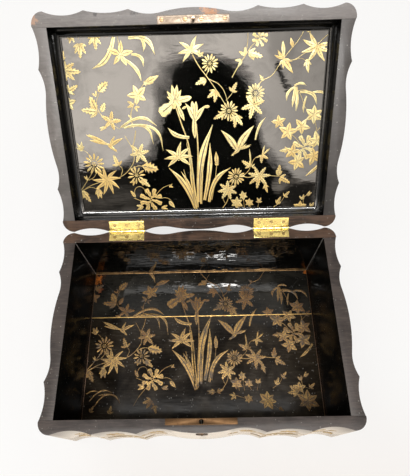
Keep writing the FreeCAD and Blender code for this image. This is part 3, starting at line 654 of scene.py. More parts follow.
shapes = {name: makeLeaf(name, **settings) for name, settings in leafShapes.items()}
shapes["dot"] = makeDot("dot")
print("leaf and petal shapes ready")


# motifs: each gives a list of shape, place, direction in degrees, length and width share

def step(x, y, angle, distance):
    a = math.radians(angle)
    return x + distance * math.cos(a), y + distance * math.sin(a)


def spread(x, y, angle, length, count=3, fan=110, shape="toothed", width=0.85, gap=0.0):
    laid = []
    for index in range(count):
        share = index / (count - 1) - 0.5 if count > 1 else 0
        turn = angle + share * fan
        size = length * (1 - 0.45 * abs(share) * 2 * (1 if fan < 250 else 0.3))
        laid.append((shape, *step(x, y, turn, gap), turn, size, width))
    return laid


def daisy(x, y, r, count=14, lean=0.0):
    laid = []
    for index in range(count):
        turn = lean + index * 360 / count
        size = r * (0.66 + 0.06 * math.sin(index * 2.4))
        laid.append(("petal", *step(x, y, turn, r * 0.32), turn, size, 0.92))
    for index in range(6):
        laid.append(("dot", *step(x, y, lean + index * 60, r * 0.17), 0, r * 0.13, 1.0))
    laid.append(("dot", x, y, 0, r * 0.15, 1.0))
    return laid


def star(x, y, r, count=5, lean=90.0, shape="leaf", width=1.8):
    laid = [(shape, *step(x, y, lean + i * 360 / count, r * 0.08), lean + i * 360 / count,
             r * (0.92 + 0.1 * math.sin(i * 1.9)), width) for i in range(count)]
    return laid + [("dot", x, y, 0, r * 0.2, 1.0)]


def peony(x, y, r, lean=20.0):
    laid = []
    for ring, (count, start, size) in enumerate(((8, 0.42, 0.56), (6, 0.20, 0.46), (4, 0.05, 0.3))):
        for index in range(count):
            turn = lean + ring * 23 + index * 360 / count
            laid.append(("ruffle", *step(x, y, turn, r * start), turn, r * size, 1.1))
    for index in range(5):
        laid.append(("dot", *step(x, y, index * 72, r * 0.1), 0, r * 0.09, 1.0))
    return laid


def bud(x, y, angle, r, count=3, fan=50, shape="leaf"):
    laid = spread(x, y, angle, r, count, fan, shape, 1.05)
    return laid + [("dot", *step(x, y, angle, r * 0.02), angle, r * 0.30, 1.2)]


def iris(x, y, r, angle=90.0):
    laid = spread(x, y, angle, r, 6, 112, "leaf", 1.05)
    laid += [("ruffle", x, y, angle + 124, r * 1.12, 0.95), ("petal", x, y, angle - 82, r * 0.98, 1.0),
             ("ruffle", *step(x, y, angle, r * 0.24), angle + 160, r * 0.62, 1.35),
             ("ruffle", *step(x, y, angle, r * 0.12), angle - 140, r * 0.46, 1.1)]
    return laid + [("leaf", *step(x, y, angle - 157, r * 1.15), angle + 22, r * 1.1, 0.66)]


# a trumpet: outer petals turned back at the tip, and a ribbed throat
def trumpet(x, y, r, angle=90.0):
    laid = [("curled", x, y, angle + 14, r * 0.98, -1.1), ("curled", x, y, angle - 16, r * 0.95, 1.1),
            ("petal", *step(x, y, angle + 27, r * 0.86), angle + 118, r * 0.30, 1.2),
            ("petal", *step(x, y, angle - 29, r * 0.84), angle - 84, r * 0.36, 1.2)]
    laid += [("petal", x, y, angle + 5, r * 1.0, 0.72), ("petal", x, y, angle - 7, r * 0.98, 0.66)]
    return laid + [("leaf", *step(x, y, angle, -r * 0.8), angle, r * 1.25, 0.6)]


def lily(x, y, r, angle=90.0, count=6):
    laid = []
    for index in range(count):
        share = index / (count - 1) - 0.5
        turn = angle + share * 220
        laid.append(("curled", x, y, turn, r * (1.1 - 0.3 * abs(share)), -1.0 if share > 0 else 1.0))
    return laid + [("dot", *step(x, y, angle + 60 * i, r * 0.14), 0, r * 0.09, 1.0)
                   for i in range(5)]


# a bird: body, head and beak one way, a long tail the other, and two raised wings
def bird(x, y, heading, size, tail, *wings):
    laid = [("leaf", *step(x, y, heading, -size * 0.30), heading, size * 0.78, 0.95),
            ("dot", *step(x, y, heading, size * 0.42), heading, size * 0.17, 1.1),
            ("leaf", *step(x, y, heading, size * 0.46), heading - 8, size * 0.17, 0.5)]
    for turn, reach in tail:
        laid.append(("blade", *step(x, y, heading, -size * 0.15), turn, size * reach, 0.85))
    for turn, reach in wings:
        laid.append(("curled", x, y, turn, size * reach, -0.9 if turn > 90 else 0.9))
        laid.append(("toothed", x, y, turn + 7 if turn > 90 else turn - 7, size * reach * 0.72, 0.5))
    return laid


# the arrangement, in millimetres from the middle of the panel; up is away from the hinge
spray = {
    "blades": [  # root, tip, sideways bow, width
        ((-3, -86), (-31, -40), -4, 6.0), ((-5, -84), (-11, -14), -2, 3.2),
        ((1, -78), (17, 3), 5, 7.5), ((7, -76), (14, -15), -2, 5.5),
        ((12, -78), (36, -41), 6, 5.0), ((-8, -9), (-30, 1), 3, 4.6),
        ((-4, -80), (-18, -44), -2, 3.4), ((-1, -84), (-6, -30), 2, 4.4),
        ((3, -80), (6, -34), 1, 3.8),
        ((-78, 3), (-41, 3), 8, 3.2), ((-76, 2), (-46, -15), 11, 3.0),
        ((-72, 3), (-36, -22), 13, 3.0), ((-80, 2), (-68, 8), 1, 1.6),
        ((-78, 85), (-102, 58), 5, 5.2), ((-64, 84), (-39, 69), 7, 4.4),
        ((-53, 86), (-50, 72), 2, 3.2), ((-70, 66), (-54, 46), 3, 3.8),
        ((-62, 70), (-51, 59), 4, 3.2), ((62, -13), (72, 9), 2, 2.6),
        ((101, 37), (93, 24), -3, 2.8), ((101, 37), (99, 18), 0, 3.2),
        ((102, 37), (103, 14), 1, 3.4), ((100, 38), (112, 38), 2, 2.4),
        ((106, 32), (124, 20), 5, 3.4), ((118, 31), (136, 22), 5, 2.8),
        ((113, 28), (111, 12), -1, 2.2), ((135, -36), (118, -52), 1, 3.4),
        ((58, -39), (56, -22), 0, 1.8), ((70, -28), (72, -19), 0, 2.0),
        ((70, -29), (78, -22), 0, 2.0)],
    "stems": [  # width, points
        (1.7, (-3, -85), (-6, -45), (-9, -16), (-16, 6), (-21, 22)),
        (1.9, (-1, -84), (0, -50), (1, -22), (0, 4)), (1.0, (-3, -80), (-10, -62), (-15, -42)),
        (0.9, (15, -76), (19, -54), (21, -37)), (1.0, (-2, 68), (4, 58), (12, 48), (21, 36), (31, 21)),
        (0.7, (11, 49), (13, 53), (15, 56)), (0.8, (14, 46), (25, 40), (31, 30), (33, 20)),
        (0.6, (31, 26), (36, 31), (38, 34)), (0.9, (37, 47), (42, 55), (50, 66), (56, 74), (63, 80)),
        (0.7, (50, 66), (52, 77), (52, 90)), (0.9, (61, 36), (67, 43), (77, 48), (83, 56), (88, 63)),
        (0.8, (88, 63), (97, 61), (107, 66), (118, 72)), (0.8, (88, 63), (95, 71), (102, 79), (108, 90)),
        (0.6, (98, 61), (106, 62), (111, 59)), (0.7, (120, 74), (128, 81), (136, 86)),
        (0.7, (61, 30), (59, 22)), (0.6, (101, 37), (107, 29), (112, 18), (117, 12)),
        (0.6, (103, 33), (110, 34), (118, 31)), (0.8, (27, -86), (33, -76), (34, -67)),
        (0.6, (30, -80), (28, -76), (27, -72)), (0.7, (36, -61), (40, -56)),
        (0.8, (46, -50), (56, -52), (66, -50), (82, -51), (93, -52)),
        (0.7, (50, -50), (56, -44), (58, -38)), (0.7, (58, -41), (62, -32), (70, -29)),
        (0.6, (69, -54), (74, -62)), (0.9, (-66, 2), (-68, 13), (-64, 24), (-59, 34), (-53, 42), (-48, 46)),
        (0.9, (-64, -1), (-66, -10), (-69, -19), (-68, -30), (-73, -39), (-84, -48), (-98, -52)),
        (0.7, (-76, -6), (-72, -13), (-69, -19)), (0.7, (-84, -47), (-82, -40), (-86, -35)),
        (0.8, (-100, -52), (-116, -56), (-130, -63)), (0.8, (-130, -62), (-122, -52), (-113, -40)),
        (0.6, (-120, -51), (-114, -48), (-109, -40)), (0.7, (-115, -28), (-118, -22), (-122, -19)),
        (0.6, (-129, -63), (-119, -59), (-112, -61)), (0.6, (-134, -48), (-132, -62)),
        (0.8, (-90, 8), (-99, 16), (-102, 26), (-98, 36)), (0.6, (-100, 18), (-107, 19)),
        (0.6, (-90, 8), (-84, 3), (-80, 1)), (0.7, (-75, 90), (-74, 82), (-73, 72)),
        (0.6, (-71, -70), (-69, -61), (-62, -60), (-58, -68)), (0.7, (-48, -70), (-40, -62), (-31, -58)),
        (0.6, (-44, -73), (-34, -73), (-28, -79)), (0.6, (-72, -72), (-60, -77)),
        (0.6, (-73, -39), (-67, -45)), (0.7, (-72, -40), (-64, -37), (-58, -38)),
        (0.6, (-134, 36), (-129, 38)), (0.6, (-136, 57), (-128, 57)), (0.6, (-112, 92), (-112, 84)),
        (0.7, (88, 0), (96, -6), (104, -12), (112, -22)), (0.6, (122, 8), (126, -6), (124, -18), (116, -24)),
        (0.6, (126, -6), (134, 2)), (0.6, (122, -20), (134, -18)), (0.6, (118, -86), (118, -76), (124, -70)),
        (0.6, (84, -86), (92, -80), (96, -74)), (0.6, (46, -88), (44, -78)), (0.6, (60, -88), (56, -78)),
        (0.5, (52, -88), (50, -72)), (0.5, (66, -88), (68, -80)), (0.6, (106, -88), (112, -84), (126, -87))],
    "motifs": [
        (iris, -21, 26, 17.5, 92), (trumpet, -1.5, 6, 20, 88), (lily, -20, -30, 15, 92, 7),
        (bud, 21, -37, 90, 13, 3, 26), (lily, -3, 71, 13, 104, 6), (spread, 4, 66, 62, 12, 2, 40),
        (daisy, 15, 60, 8.5), (spread, 11, 46, 205, 12, 3, 70), (spread, 21, 35, 235, 13, 4, 130),
        (spread, 37, 34, 62, 10, 3, 120), (daisy, 34, 16, 9.5, 15), (spread, 28, 13, 205, 11, 3, 100),
        (spread, 41, 11, 285, 14, 4, 120), (peony, 64, 81, 8), (spread, 47, 62, 205, 13, 2, 60),
        (spread, 50, 66, 120, 14, 2, 50), (spread, 53, 68, 350, 15, 3, 80), (spread, 40, 86, 100, 9, 3, 150),
        (spread, 88, 63, 165, 17, 2, 34, "curled", 1.1), (spread, 88, 63, 95, 15, 1, 0, "blade", 1.6),
        (spread, 88, 62, 305, 16, 3, 80, "leaf", 0.95), (spread, 88, 62, 245, 13, 2, 30, "leaf", 0.95), (bud, 111, 60, 280, 11, 3, 80),
        (lily, 120, 73, 15, 250, 7), (bud, 96, 73, 105, 8, 3, 60), (spread, 108, 86, 60, 9, 3, 160),
        (daisy, 61, 32, 9.5, 16), (bud, 68, 44, 130, 6, 3, 70), (spread, 59, 21, 255, 14, 5, 250),
        (star, 86, 4, 7, 5, 100), (star, 96, -6, 9.5, 5, 80), (star, 110, -1, 8.5, 5, 60),
        (star, 122, 10, 9.5, 6, 90), (spread, 131, 0, 40, 8, 3, 140), (peony, 114, -22, 13),
        (star, 127, -15, 9, 5, 30), (star, 102, -26, 8, 5, 150), (star, 108, -37, 9, 5, 250),
        (star, 125, -31, 9.5, 5, 320), (spread, 97, -24, 185, 9, 3, 90), (bird, 43, -24, 218, 14, ((24, 1.0), (16, 0.9), (31, 0.7)), (116, 1.9), (68, 2.1)),
        (daisy, 42, -51, 9.5, 15), (spread, 57, -40, 150, 11, 3, 110), (spread, 59, -41, 10, 8, 2, 70),
        (spread, 69, -29, 300, 10, 4, 190), (spread, 67, -51, 265, 14, 7, 300, "toothed", 0.7), (bud, 74, -61, 290, 9, 3, 90),
        (spread, 88, -51, 80, 12, 3, 60), (spread, 90, -53, 330, 13, 3, 110), (spread, 33, -65, 240, 12, 7, 290),
        (star, 43, -80, 7, 6), (star, 50, -72, 5, 6, 40), (star, 57, -80, 5, 6), (spread, 68, -80, 90, 7, 4, 140),
        (spread, 88, -82, 60, 9, 3, 90, "toothed"), (spread, 96, -74, 50, 8, 3, 120), (spread, 117, -78, 110, 11, 2, 50),
        (spread, 121, -74, 50, 12, 2, 30), (star, 114, -86, 7, 5), (spread, 126, -86, 40, 8, 3, 120),
        (spread, -112, 80, 270, 13, 5, 140), (spread, -97, 86, 270, 12, 5, 160), (spread, -120, 88, 280, 9, 4, 120), (bud, -131, 66, 75, 9, 3, 70),
        (spread, -131, 57, 355, 17, 5, 150), (spread, -129, 38, 30, 12, 3, 110, "toothed"),
        (star, -131, 27, 8, 5), (spread, -136, 12, 320, 12, 2, 26), (star, -73, 70, 12, 5, 84, "leaf", 1.3),
        (bud, -50, 44, 22, 15, 3, 44), (star, -59, 33, 10, 5, 110), (spread, -64, 24, 175, 13, 2, 50),
        (spread, -63, 22, 330, 10, 2, 60), (bud, -68, 12, 110, 7, 2, 50), (spread, -99, 37, 42, 14, 1, 0, "toothed", 1.3),
        (spread, -101, 33, 120, 10, 2, 60, "toothed"), (spread, -103, 20, 112, 14, 1, 0, "toothed", 1.2),
        (spread, -102, 18, 175, 17, 3, 80, "toothed"), (spread, -98, 18, 60, 10, 1, 0, "toothed", 1.2),
        (star, -89, 9, 10, 5, 75, "toothed", 1.0), (bud, -96, 3, 195, 11, 2, 26), (bird, -92, -16, 318, 15, ((158, 1.7), (152, 1.55), (165, 1.4)), (80, 0.75), (44, 1.05)),
        (bud, -124, -19, 100, 10, 4, 110), (daisy, -112, -34, 11, 13), (bud, -122, -50, 112, 8, 2, 40),
        (spread, -86, -36, 110, 12, 3, 130), (star, -62, -24, 11, 6, 70, "toothed", 0.9), (spread, -100, -51, 265, 17, 9, 300, "curled", 0.9),
        (spread, -60, -37, 345, 18, 1, 0, "toothed", 1.3), (spread, -56, -38, 330, 9, 1, 0), (daisy, -67, -47, 9.5, 11),
        (spread, -62, -52, 320, 12, 3, 70), (spread, -70, -53, 225, 10, 2, 50), (spread, -129, -63, 300, 15, 3, 60),
        (bud, -111, -61, 275, 13, 4, 80), (spread, -133, -64, 262, 12, 1, 0), (peony, -53, -74, 13),
        (spread, -62, -82, 185, 15, 2, 40, "toothed"), (spread, -70, -71, 120, 9, 1, 0), (bud, -31, -60, 20, 7, 2, 60),
        (spread, -33, -76, 310, 10, 1, 0, "leaf", 1.3), (spread, -42, -84, 5, 14, 2, 30, "toothed")]}
# what the floor shows below that, in the floor's own millimetres
floorExtra = {
    "blades": [((-128, -66), (-102, -57), 6, 1.6), ((-122, -72), (-96, -62), 7, 1.6),
               ((-118, -60), (-92, -70), 6, 1.4), ((-132, -58), (-118, -56), 2, 1.4)],
    "stems": [(0.6, (-64, -52), (-72, -62), (-78, -72)), (0.6, (16, -58), (6, -60)),
              (0.6, (38, -62), (50, -66)), (0.6, (118, -68), (112, -58), (108, -50)),
              (0.5, (72, -68), (84, -76))],
    "motifs": [(spread, -58, -66, 220, 12, 4, 150), (spread, -54, -72, 280, 9, 3, 120),
               (spread, 14, -58, 175, 9, 3, 90), (spread, 17, -58, 20, 8, 3, 90),
               (spread, 37, -62, 200, 8, 4, 150), (star, 73, -68, 10, 7), (spread, 85, -76, 330, 6, 3, 90),
               (star, 118, -69, 12, 6), (spread, 108, -60, 160, 14, 4, 120), (spread, -104, -80, 80, 9, 3, 100),
               (star, 52, -66, 5, 6), (spread, -126, -78, 60, 8, 3, 90)]}


# lays shapes, blades and stems into one mesh, in millimetres on a flat sheet
def layOut(name, arrangement, seed, halfX, halfY):
    random.seed(seed)
    laid = []
    for maker, *values in arrangement["motifs"]:
        tone = random.random()
        for shape, x, y, angle, length, width in maker(*values):
            turn = math.radians(angle - 90 + random.uniform(-4, 4))
            mesh = shapes[shape].data.copy()
            mesh.transform(Matrix.Translation((x, y, 0)) @ Matrix.Rotation(turn, 4, "Z")
                           @ Matrix.Diagonal((length * width, length,
                                              relief["crown"] * min(1.0, length / 8), 1)))
            if width < 0:
                mesh.flip_normals()
            lift = relief["thickness"] + random.uniform(0, 0.07)
            for vertex in mesh.vertices:
                low = vertex.co.z < -0.1
                vertex.co.z = -relief["sunk"] if low else vertex.co.z + lift
            addTone(mesh, min(1, max(0, tone + random.uniform(-0.25, 0.25))))
            laid.append(addPiece(name, mesh))
    blades = []
    for root, tip, bow, width in arrangement["blades"]:
        a, b = Vector(root), Vector(tip)
        side = Vector((b.y - a.y, a.x - b.x)).normalized() * -bow
        blades.append(([a, a.lerp(b, 0.3) + side * 0.8, a.lerp(b, 0.65) + side, b],
                       (0.30 * width, 0.42 * width, 0.5 * width, 0.04 * width)))
    stems = []
    for width, *points in arrangement["stems"]:
        taper = [width / 2 * (1 - 0.35 * i / (len(points) - 1)) for i in range(len(points))]
        stems.append(([Vector(p) for p in points], taper))
    laid += [drawStrokes(name, strokes, ribbed)
             for strokes, ribbed in ((blades, True), (stems, False)) if strokes]
    lowest = min(root[1] for root, *rest in arrangement["blades"])
    for vertex, tone in zip(laid[-2].data.vertices, laid[-2].data.attributes["tone"].data):
        tone.value = min(1, max(0.1, 1 - (vertex.co.y - lowest) / 55))
    kept = []
    for piece in laid:
        reach = max(max(abs(v.co.x) - halfX, abs(v.co.y) - halfY) for v in piece.data.vertices)
        near = min(max(abs(v.co.x) - halfX, abs(v.co.y) - halfY) for v in piece.data.vertices)
        if near > -0.5:
            bpy.data.objects.remove(piece)
            continue
        if reach > 0:
            trim(piece, halfX, halfY)
        kept.append(piece)
    selectOnly(*kept)
    bpy.ops.object.join()
    piece = bpy.context.object
    piece.name = name
    piece.data.name = name
    return piece


def addPiece(name, mesh):
    piece = bpy.data.objects.new(name, mesh)
    bpy.context.scene.collection.objects.link(piece)
    return piece


def addTone(mesh, value):
    layer = mesh.attributes.new("tone", "FLOAT", "POINT")
    layer.data.foreach_set("value", [value] * len(mesh.vertices))


# tapering strokes: bevelled curves through the points, made a mesh and pressed flat
def drawStrokes(name, strokes, ribbed):
    curve = bpy.data.curves.new(name, "CURVE")
    curve.dimensions = "3D"
    curve.resolution_u = 6
    curve.bevel_depth = 1.0
    curve.bevel_resolution = 1
    curve.use_fill_caps = True
    for points, radii in strokes:
        spline = curve.splines.new("BEZIER")
        spline.bezier_points.add(len(points) - 1)
        for knot, point, radius in zip(spline.bezier_points, points, radii):
            knot.co = (point.x, point.y, 0)
            knot.handle_left_type = knot.handle_right_type = "AUTO"
            knot.radius = radius
    piece = addPiece(name, curve)
    selectOnly(piece)
    bpy.ops.object.convert(target="MESH")
    piece = bpy.context.object
    mesh = piece.data
    for vertex in mesh.vertices:
        z = vertex.co.z
        vertex.co.z = (relief["thickness"] if z > 0.004 else
                       -relief["sunk"] if z < -0.004 else relief["thickness"] * 0.3)
    # the line down a blade follows its middle; a stem has none
    for corner in mesh.uv_layers[0].data:
        around = corner.uv.y if corner.uv.y < 0.6 else corner.uv.y - 1
        corner.uv = (0.5 + (around - 1 / 12) * 2 if ribbed else 0.28, 0.3)
    addTone(mesh, 0.45)
    return piece


# the lid's cove lifts whatever is drawn near its edge
def coveLift(u, v):
    edge = min(inside["x"] - abs(u), inside["y"] - abs(v))
    radius = 5.0
    if edge >= radius:
        return 0.0
    return radius - math.sqrt(max(0.0, radius ** 2 - (radius - max(edge, 0.0)) ** 2))


def trim(piece, halfX, halfY):
    for normal, point in (((1, 0, 0), halfX), ((-1, 0, 0), halfX),
                          ((0, 1, 0), halfY), ((0, -1, 0), halfY)):
        normal = Vector(normal)
        pick(piece, lambda v: True)
        bpy.ops.mesh.bisect(plane_co=normal * point, plane_no=normal, use_fill=True,
                            clear_outer=True)
        leave()
        if not piece.data.vertices:
            return


def settle(piece, place):
    for vertex in piece.data.vertices:
        vertex.co = place(*vertex.co)
    smooth(piece, 60)


def onLid(u, v, h):
    return lidPlace(u, v, inside["lidPanel"] - coveLift(u, v) - h)


def onFloor(u, v, h):
    return Vector((u, v, inside["floor"] + h)) * mm


lidDrawing = layOut("lid_gold_drawing", spray, 7, 134.2, 90.2)
# painted reflection: the gold is browner towards the hinges, where it mirrors the dark figure
for vertex, tone in zip(lidDrawing.data.vertices, lidDrawing.data.attributes["tone"].data):
    tone.value += 0.75 * min(1, max(0, 5 - vertex.co.y) / 75)
settle(lidDrawing, onLid)
finish(lidDrawing, "lid", "panel_lacquer", (lidGold,))
print("lid drawing ready,", len(lidDrawing.data.polygons), "faces")


def shifted(arrangement, dx, dy, top=84):
    def low(points):
        return min(p[1] for p in points) + dy < top and max(p[1] for p in points) + dy < top + 16
    return {
        "blades": [((a[0] + dx, a[1] + dy), (b[0] + dx, b[1] + dy), bow, w)
                   for a, b, bow, w in arrangement["blades"] if low((a, b))],
        "stems": [(w, *[(x + dx, y + dy) for x, y in points])
                  for w, *points in arrangement["stems"] if low(points)],
        "motifs": [(maker, x + dx, y + dy, *rest) for maker, x, y, *rest
                   in arrangement["motifs"] if y + dy < top]}


floorSpray = shifted(spray, -4, 31)
for key in floorSpray:
    floorSpray[key] = floorSpray[key] + floorExtra[key]
floorDrawing = layOut("floor_gold_drawing", floorSpray, 11, 134.2, 90.2)
settle(floorDrawing, onFloor)
# the drawing on the back board is rubbed darker
for vertex, tone in zip(floorDrawing.data.vertices, floorDrawing.data.attributes["tone"].data):
    tone.value += 0.7 * min(1, max(0, vertex.co.y / mm - 22) / 20)
finish(floorDrawing, "box", "floor_lacquer", (floorGold,))
print("floor drawing ready,", len(floorDrawing.data.polygons), "faces")


# the outside: a flowering sprig for each half of the long walls, a bough over the lid
sprig = {
    "blades": [((0, -30), (-14, 4), -3, 2.6), ((2, -30), (10, 2), 3, 2.4), ((6, -30), (24, -8), 4, 2.2),
               ((-3, -30), (-24, -14), -4, 2.2)],
    "stems": [(1.0, (0, -30), (4, -12), (-4, 6), (-14, 18), (-28, 22)),
              (0.9, (4, -12), (14, 2), (28, 8), (42, 4), (52, -4)),
              (0.8, (28, 8), (36, 18), (38, 26)), (0.7, (-4, 6), (6, 16), (10, 26)),
              (0.7, (-14, 18), (-24, 8), (-36, 4)), (0.6, (42, 4), (50, 12))],
    "motifs": [(peony, 10, 22, 9), (daisy, -30, 22, 8, 13), (daisy, 38, 25, 6.5, 12),
               (spread, -38, 3, 190, 11, 3, 110), (spread, 53, -6, 320, 12, 3, 110),
               (spread, 14, 2, 280, 10, 2, 60), (spread, -16, 18, 100, 10, 2, 60),
               (bud, 51, 13, 50, 8, 3, 60), (spread, 28, 8, 290, 9, 2, 50), (star, -8, -2, 6, 5)]}
bough = {
    "blades": [((96, -70), (70, -52), 4, 3.0), ((98, -68), (88, -38), 3, 3.0)],
    "stems": [(2.6, (112, -78), (84, -54), (52, -36), (22, -8), (-16, 6), (-52, 10), (-84, 30)),
              (1.6, (52, -36), (30, -46), (2, -48), (-22, -60)), (1.3, (-16, 6), (-34, 26), (-40, 50)),
              (1.3, (22, -8), (28, 18), (52, 36)), (1.0, (-52, 10), (-72, 0), (-96, -6))],
    "motifs": [(peony, 20, 14, 19), (peony, -52, 16, 15, 50), (daisy, 54, 40, 12, 16),
               (daisy, -24, -62, 11, 15), (iris, -40, 56, 15, 110), (daisy, -98, -8, 9, 13),
               (spread, -86, 32, 150, 18, 5, 150), (spread, 2, -48, 250, 15, 3, 100),
               (spread, 84, -54, 320, 16, 3, 90), (spread, 40, -22, 60, 16, 3, 100),
               (spread, -16, 6, 270, 15, 3, 90), (spread, 28, 18, 160, 13, 3, 80),
               (spread, -72, 0, 250, 12, 3, 90), (bird, 62, -2, 200, 16, ((20, 1.4), (12, 1.2)),
                                                 (120, 1.5), (66, 1.7)),
               (bird, -78, -44, 330, 13, ((158, 1.4), (150, 1.2)), (84, 1.3), (40, 1.5))]}


# wraps a flat drawing on a face by dropping it there from outside
def wrapOn(drawing, target, start, across, up, inward):
    skin = BVHTree.FromObject(target, bpy.context.evaluated_depsgraph_get())
    for vertex in drawing.data.vertices:
        a, b, h = vertex.co
        origin = start + (across * a + up * b) * mm
        point = skin.ray_cast(origin, inward)[0]
        vertex.co = (point or origin) - inward * h * mm
    smooth(drawing, 60)


def flipped(arrangement):
    return {"blades": [((-a[0], a[1]), (-b[0], b[1]), -bow, w)
                       for a, b, bow, w in arrangement["blades"]],
            "stems": [(w, *[(-x, y) for x, y in points]) for w, *points in arrangement["stems"]],
            "motifs": [(maker, -x, y, *rest) for maker, x, y, *rest in arrangement["motifs"]]}


def joinArrangements(*parts):
    return {key: [item for part in parts for item in part[key]] for key in sprig}


def decorateOutside():
    right = shifted(sprig, 74, -8, 200)
    pair = joinArrangements(right, flipped(right))
    sheets = {"front": layOut("front_gold_sprigs", pair, 5, 134, 30),
              "left": layOut("left_gold_sprigs", sprig, 5, 88, 30)}
    for other, source in (("back", "front"), ("right", "left")):
        sheets[other] = addPiece(other + "_gold_sprigs", sheets[source].data.copy())
        sheets[other].data.name = sheets[other].name
    acrossX, acrossY, up = Vector((1, 0, 0)), Vector((0, 1, 0)), Vector((0, 0, 1))
    for side, start, across, inward in (
            ("front", (0, -0.3, 0.047), acrossX, acrossY),
            ("back", (0, 0.3, 0.047), -acrossX, -acrossY),
            ("left", (-0.4, 0, 0.047), -acrossY, acrossX),
            ("right", (0.4, 0, 0.047), acrossY, -acrossX)):
        wrapOn(sheets[side], bpy.data.objects[side + "_wall_lacquered"], Vector(start), across,
               up, inward)
        finish(sheets[side], "box", "panel_lacquer", (outsideGold,))
    drawing = layOut("lid_gold_bough", bough, 9, 124, 82)
    turn = lidTurn.to_3x3()
    wrapOn(drawing, bpy.data.objects["lid_top_lacquered"], lidPlace(0, 0, 300),
           turn @ Vector((-1, 0, 0)), turn @ Vector((0, -1, 0)), turn @ Vector((0, 0, -1)))
    finish(drawing, "lid", "panel_lacquer", (outsideGold,))


decorateOutside()
for shape in shapes.values():
    bpy.data.objects.remove(shape)
print("outside drawings ready")


# the gilded putty that fills the floor's joint and runs round its edge
fill = {"jointY": 32.0, "jointWidth": 0.9, "edgeWidth": 0.7, "height": 0.22, "inset": 0.1}


def makeBead(name, x, y, length, width, turned):
    size = (length, width) if not turned else (width, length)
    bpy.ops.mesh.primitive_cube_add(size=1, location=Vector((x, y, inside["floor"])) * mm,
                                    scale=(size[0] * mm, size[1] * mm, 2 * fill["height"] * mm))
    bead = bpy.context.object
    bead.name = name
    bpy.ops.object.transform_apply(location=True, scale=True)
    pick(bead, lambda f: f.normal.z > 0.9, "FACE")
    bpy.ops.mesh.inset(thickness=0.28 * width * mm)
    bpy.ops.transform.translate(value=(0, 0, 0.06 * mm))
    leave()
    apply(bead, "BEVEL", width=0.08 * mm, segments=2, limit_method="ANGLE")
    smooth(bead)
    return bead


def makeFill():
    edgeX = inside["x"] - fill["inset"] - fill["edgeWidth"] / 2
    edgeY = inside["y"] - fill["inset"] - fill["edgeWidth"] / 2
    long, short = 2 * inside["x"] - 2 * fill["inset"], 2 * inside["y"] - 2 * fill["inset"]
    beads = [makeBead("floor_joint_fill", 0, fill["jointY"], long, fill["jointWidth"], False),
             makeBead("floor_edge_fill_back", 0, edgeY, long, fill["edgeWidth"], False),
             makeBead("floor_edge_fill_front", 0, -edgeY, long, fill["edgeWidth"] * 0.6, False),
             makeBead("floor_edge_fill_left", -edgeX, 0, short, fill["edgeWidth"], True),
             makeBead("floor_edge_fill_right", edgeX, 0, short, fill["edgeWidth"], True)]
    tones = {"joint": beadGilt, "back": edgeGilt}
    for bead in beads:
        kind = bead.name.split("_")[-1 if "edge" in bead.name else 1]
        finish(bead, "box", "floor_lacquer", (tones.get(kind, sideGilt),))
    # the lacquer's rounded seam up each back corner
    for side, x in (("left", -1), ("right", 1)):
        bpy.ops.mesh.primitive_cylinder_add(vertices=12, radius=0.45 * mm, depth=84 * mm,
                                            location=Vector((x * 134.9, 90.9, 50)) * mm)
        seam = bpy.context.object
        seam.name = "back_corner_seam_" + side
        bpy.ops.object.transform_apply(location=True)
        apply(seam, "BEVEL", width=0.15 * mm, segments=2, limit_method="ANGLE")
        smooth(seam)
        finish(seam, "box", "black_lacquer", (cornerGrey,))


beadGilt = metal("beadGilt", (0.85, 0.55, 0.18), (0.42, 0.20, 0.05), 0.7, 0.35, 0.55, 0.02, 0.6)
edgeGilt = metal("edgeGilt", (0.62, 0.36, 0.14), (0.16, 0.08, 0.03), 0.9, 0.4, 0.6, 0.02, 0.5)
sideGilt = metal("sideGilt", (0.10, 0.05, 0.02), (0.02, 0.012, 0.008), 0.9, 0.4, 0.6, 0.02, 0.5)
cornerGrey = metal("cornerGrey", (0.30, 0.28, 0.26), (0.04, 0.035, 0.03), 0.9, 0.3, 0.5, 0.02, 0.0)
makeFill()
print("floor beads ready")


# ---- the place it is seen in

studio = {"floorSize": 8.0, "floorTone": (0.93, 0.915, 0.90), "white": (0.99, 0.985, 0.975),
          "paintedShadowTone": (0.90, 0.84, 0.79), "bounce": (1.0, 0.80, 0.58), "shown": 0.72}


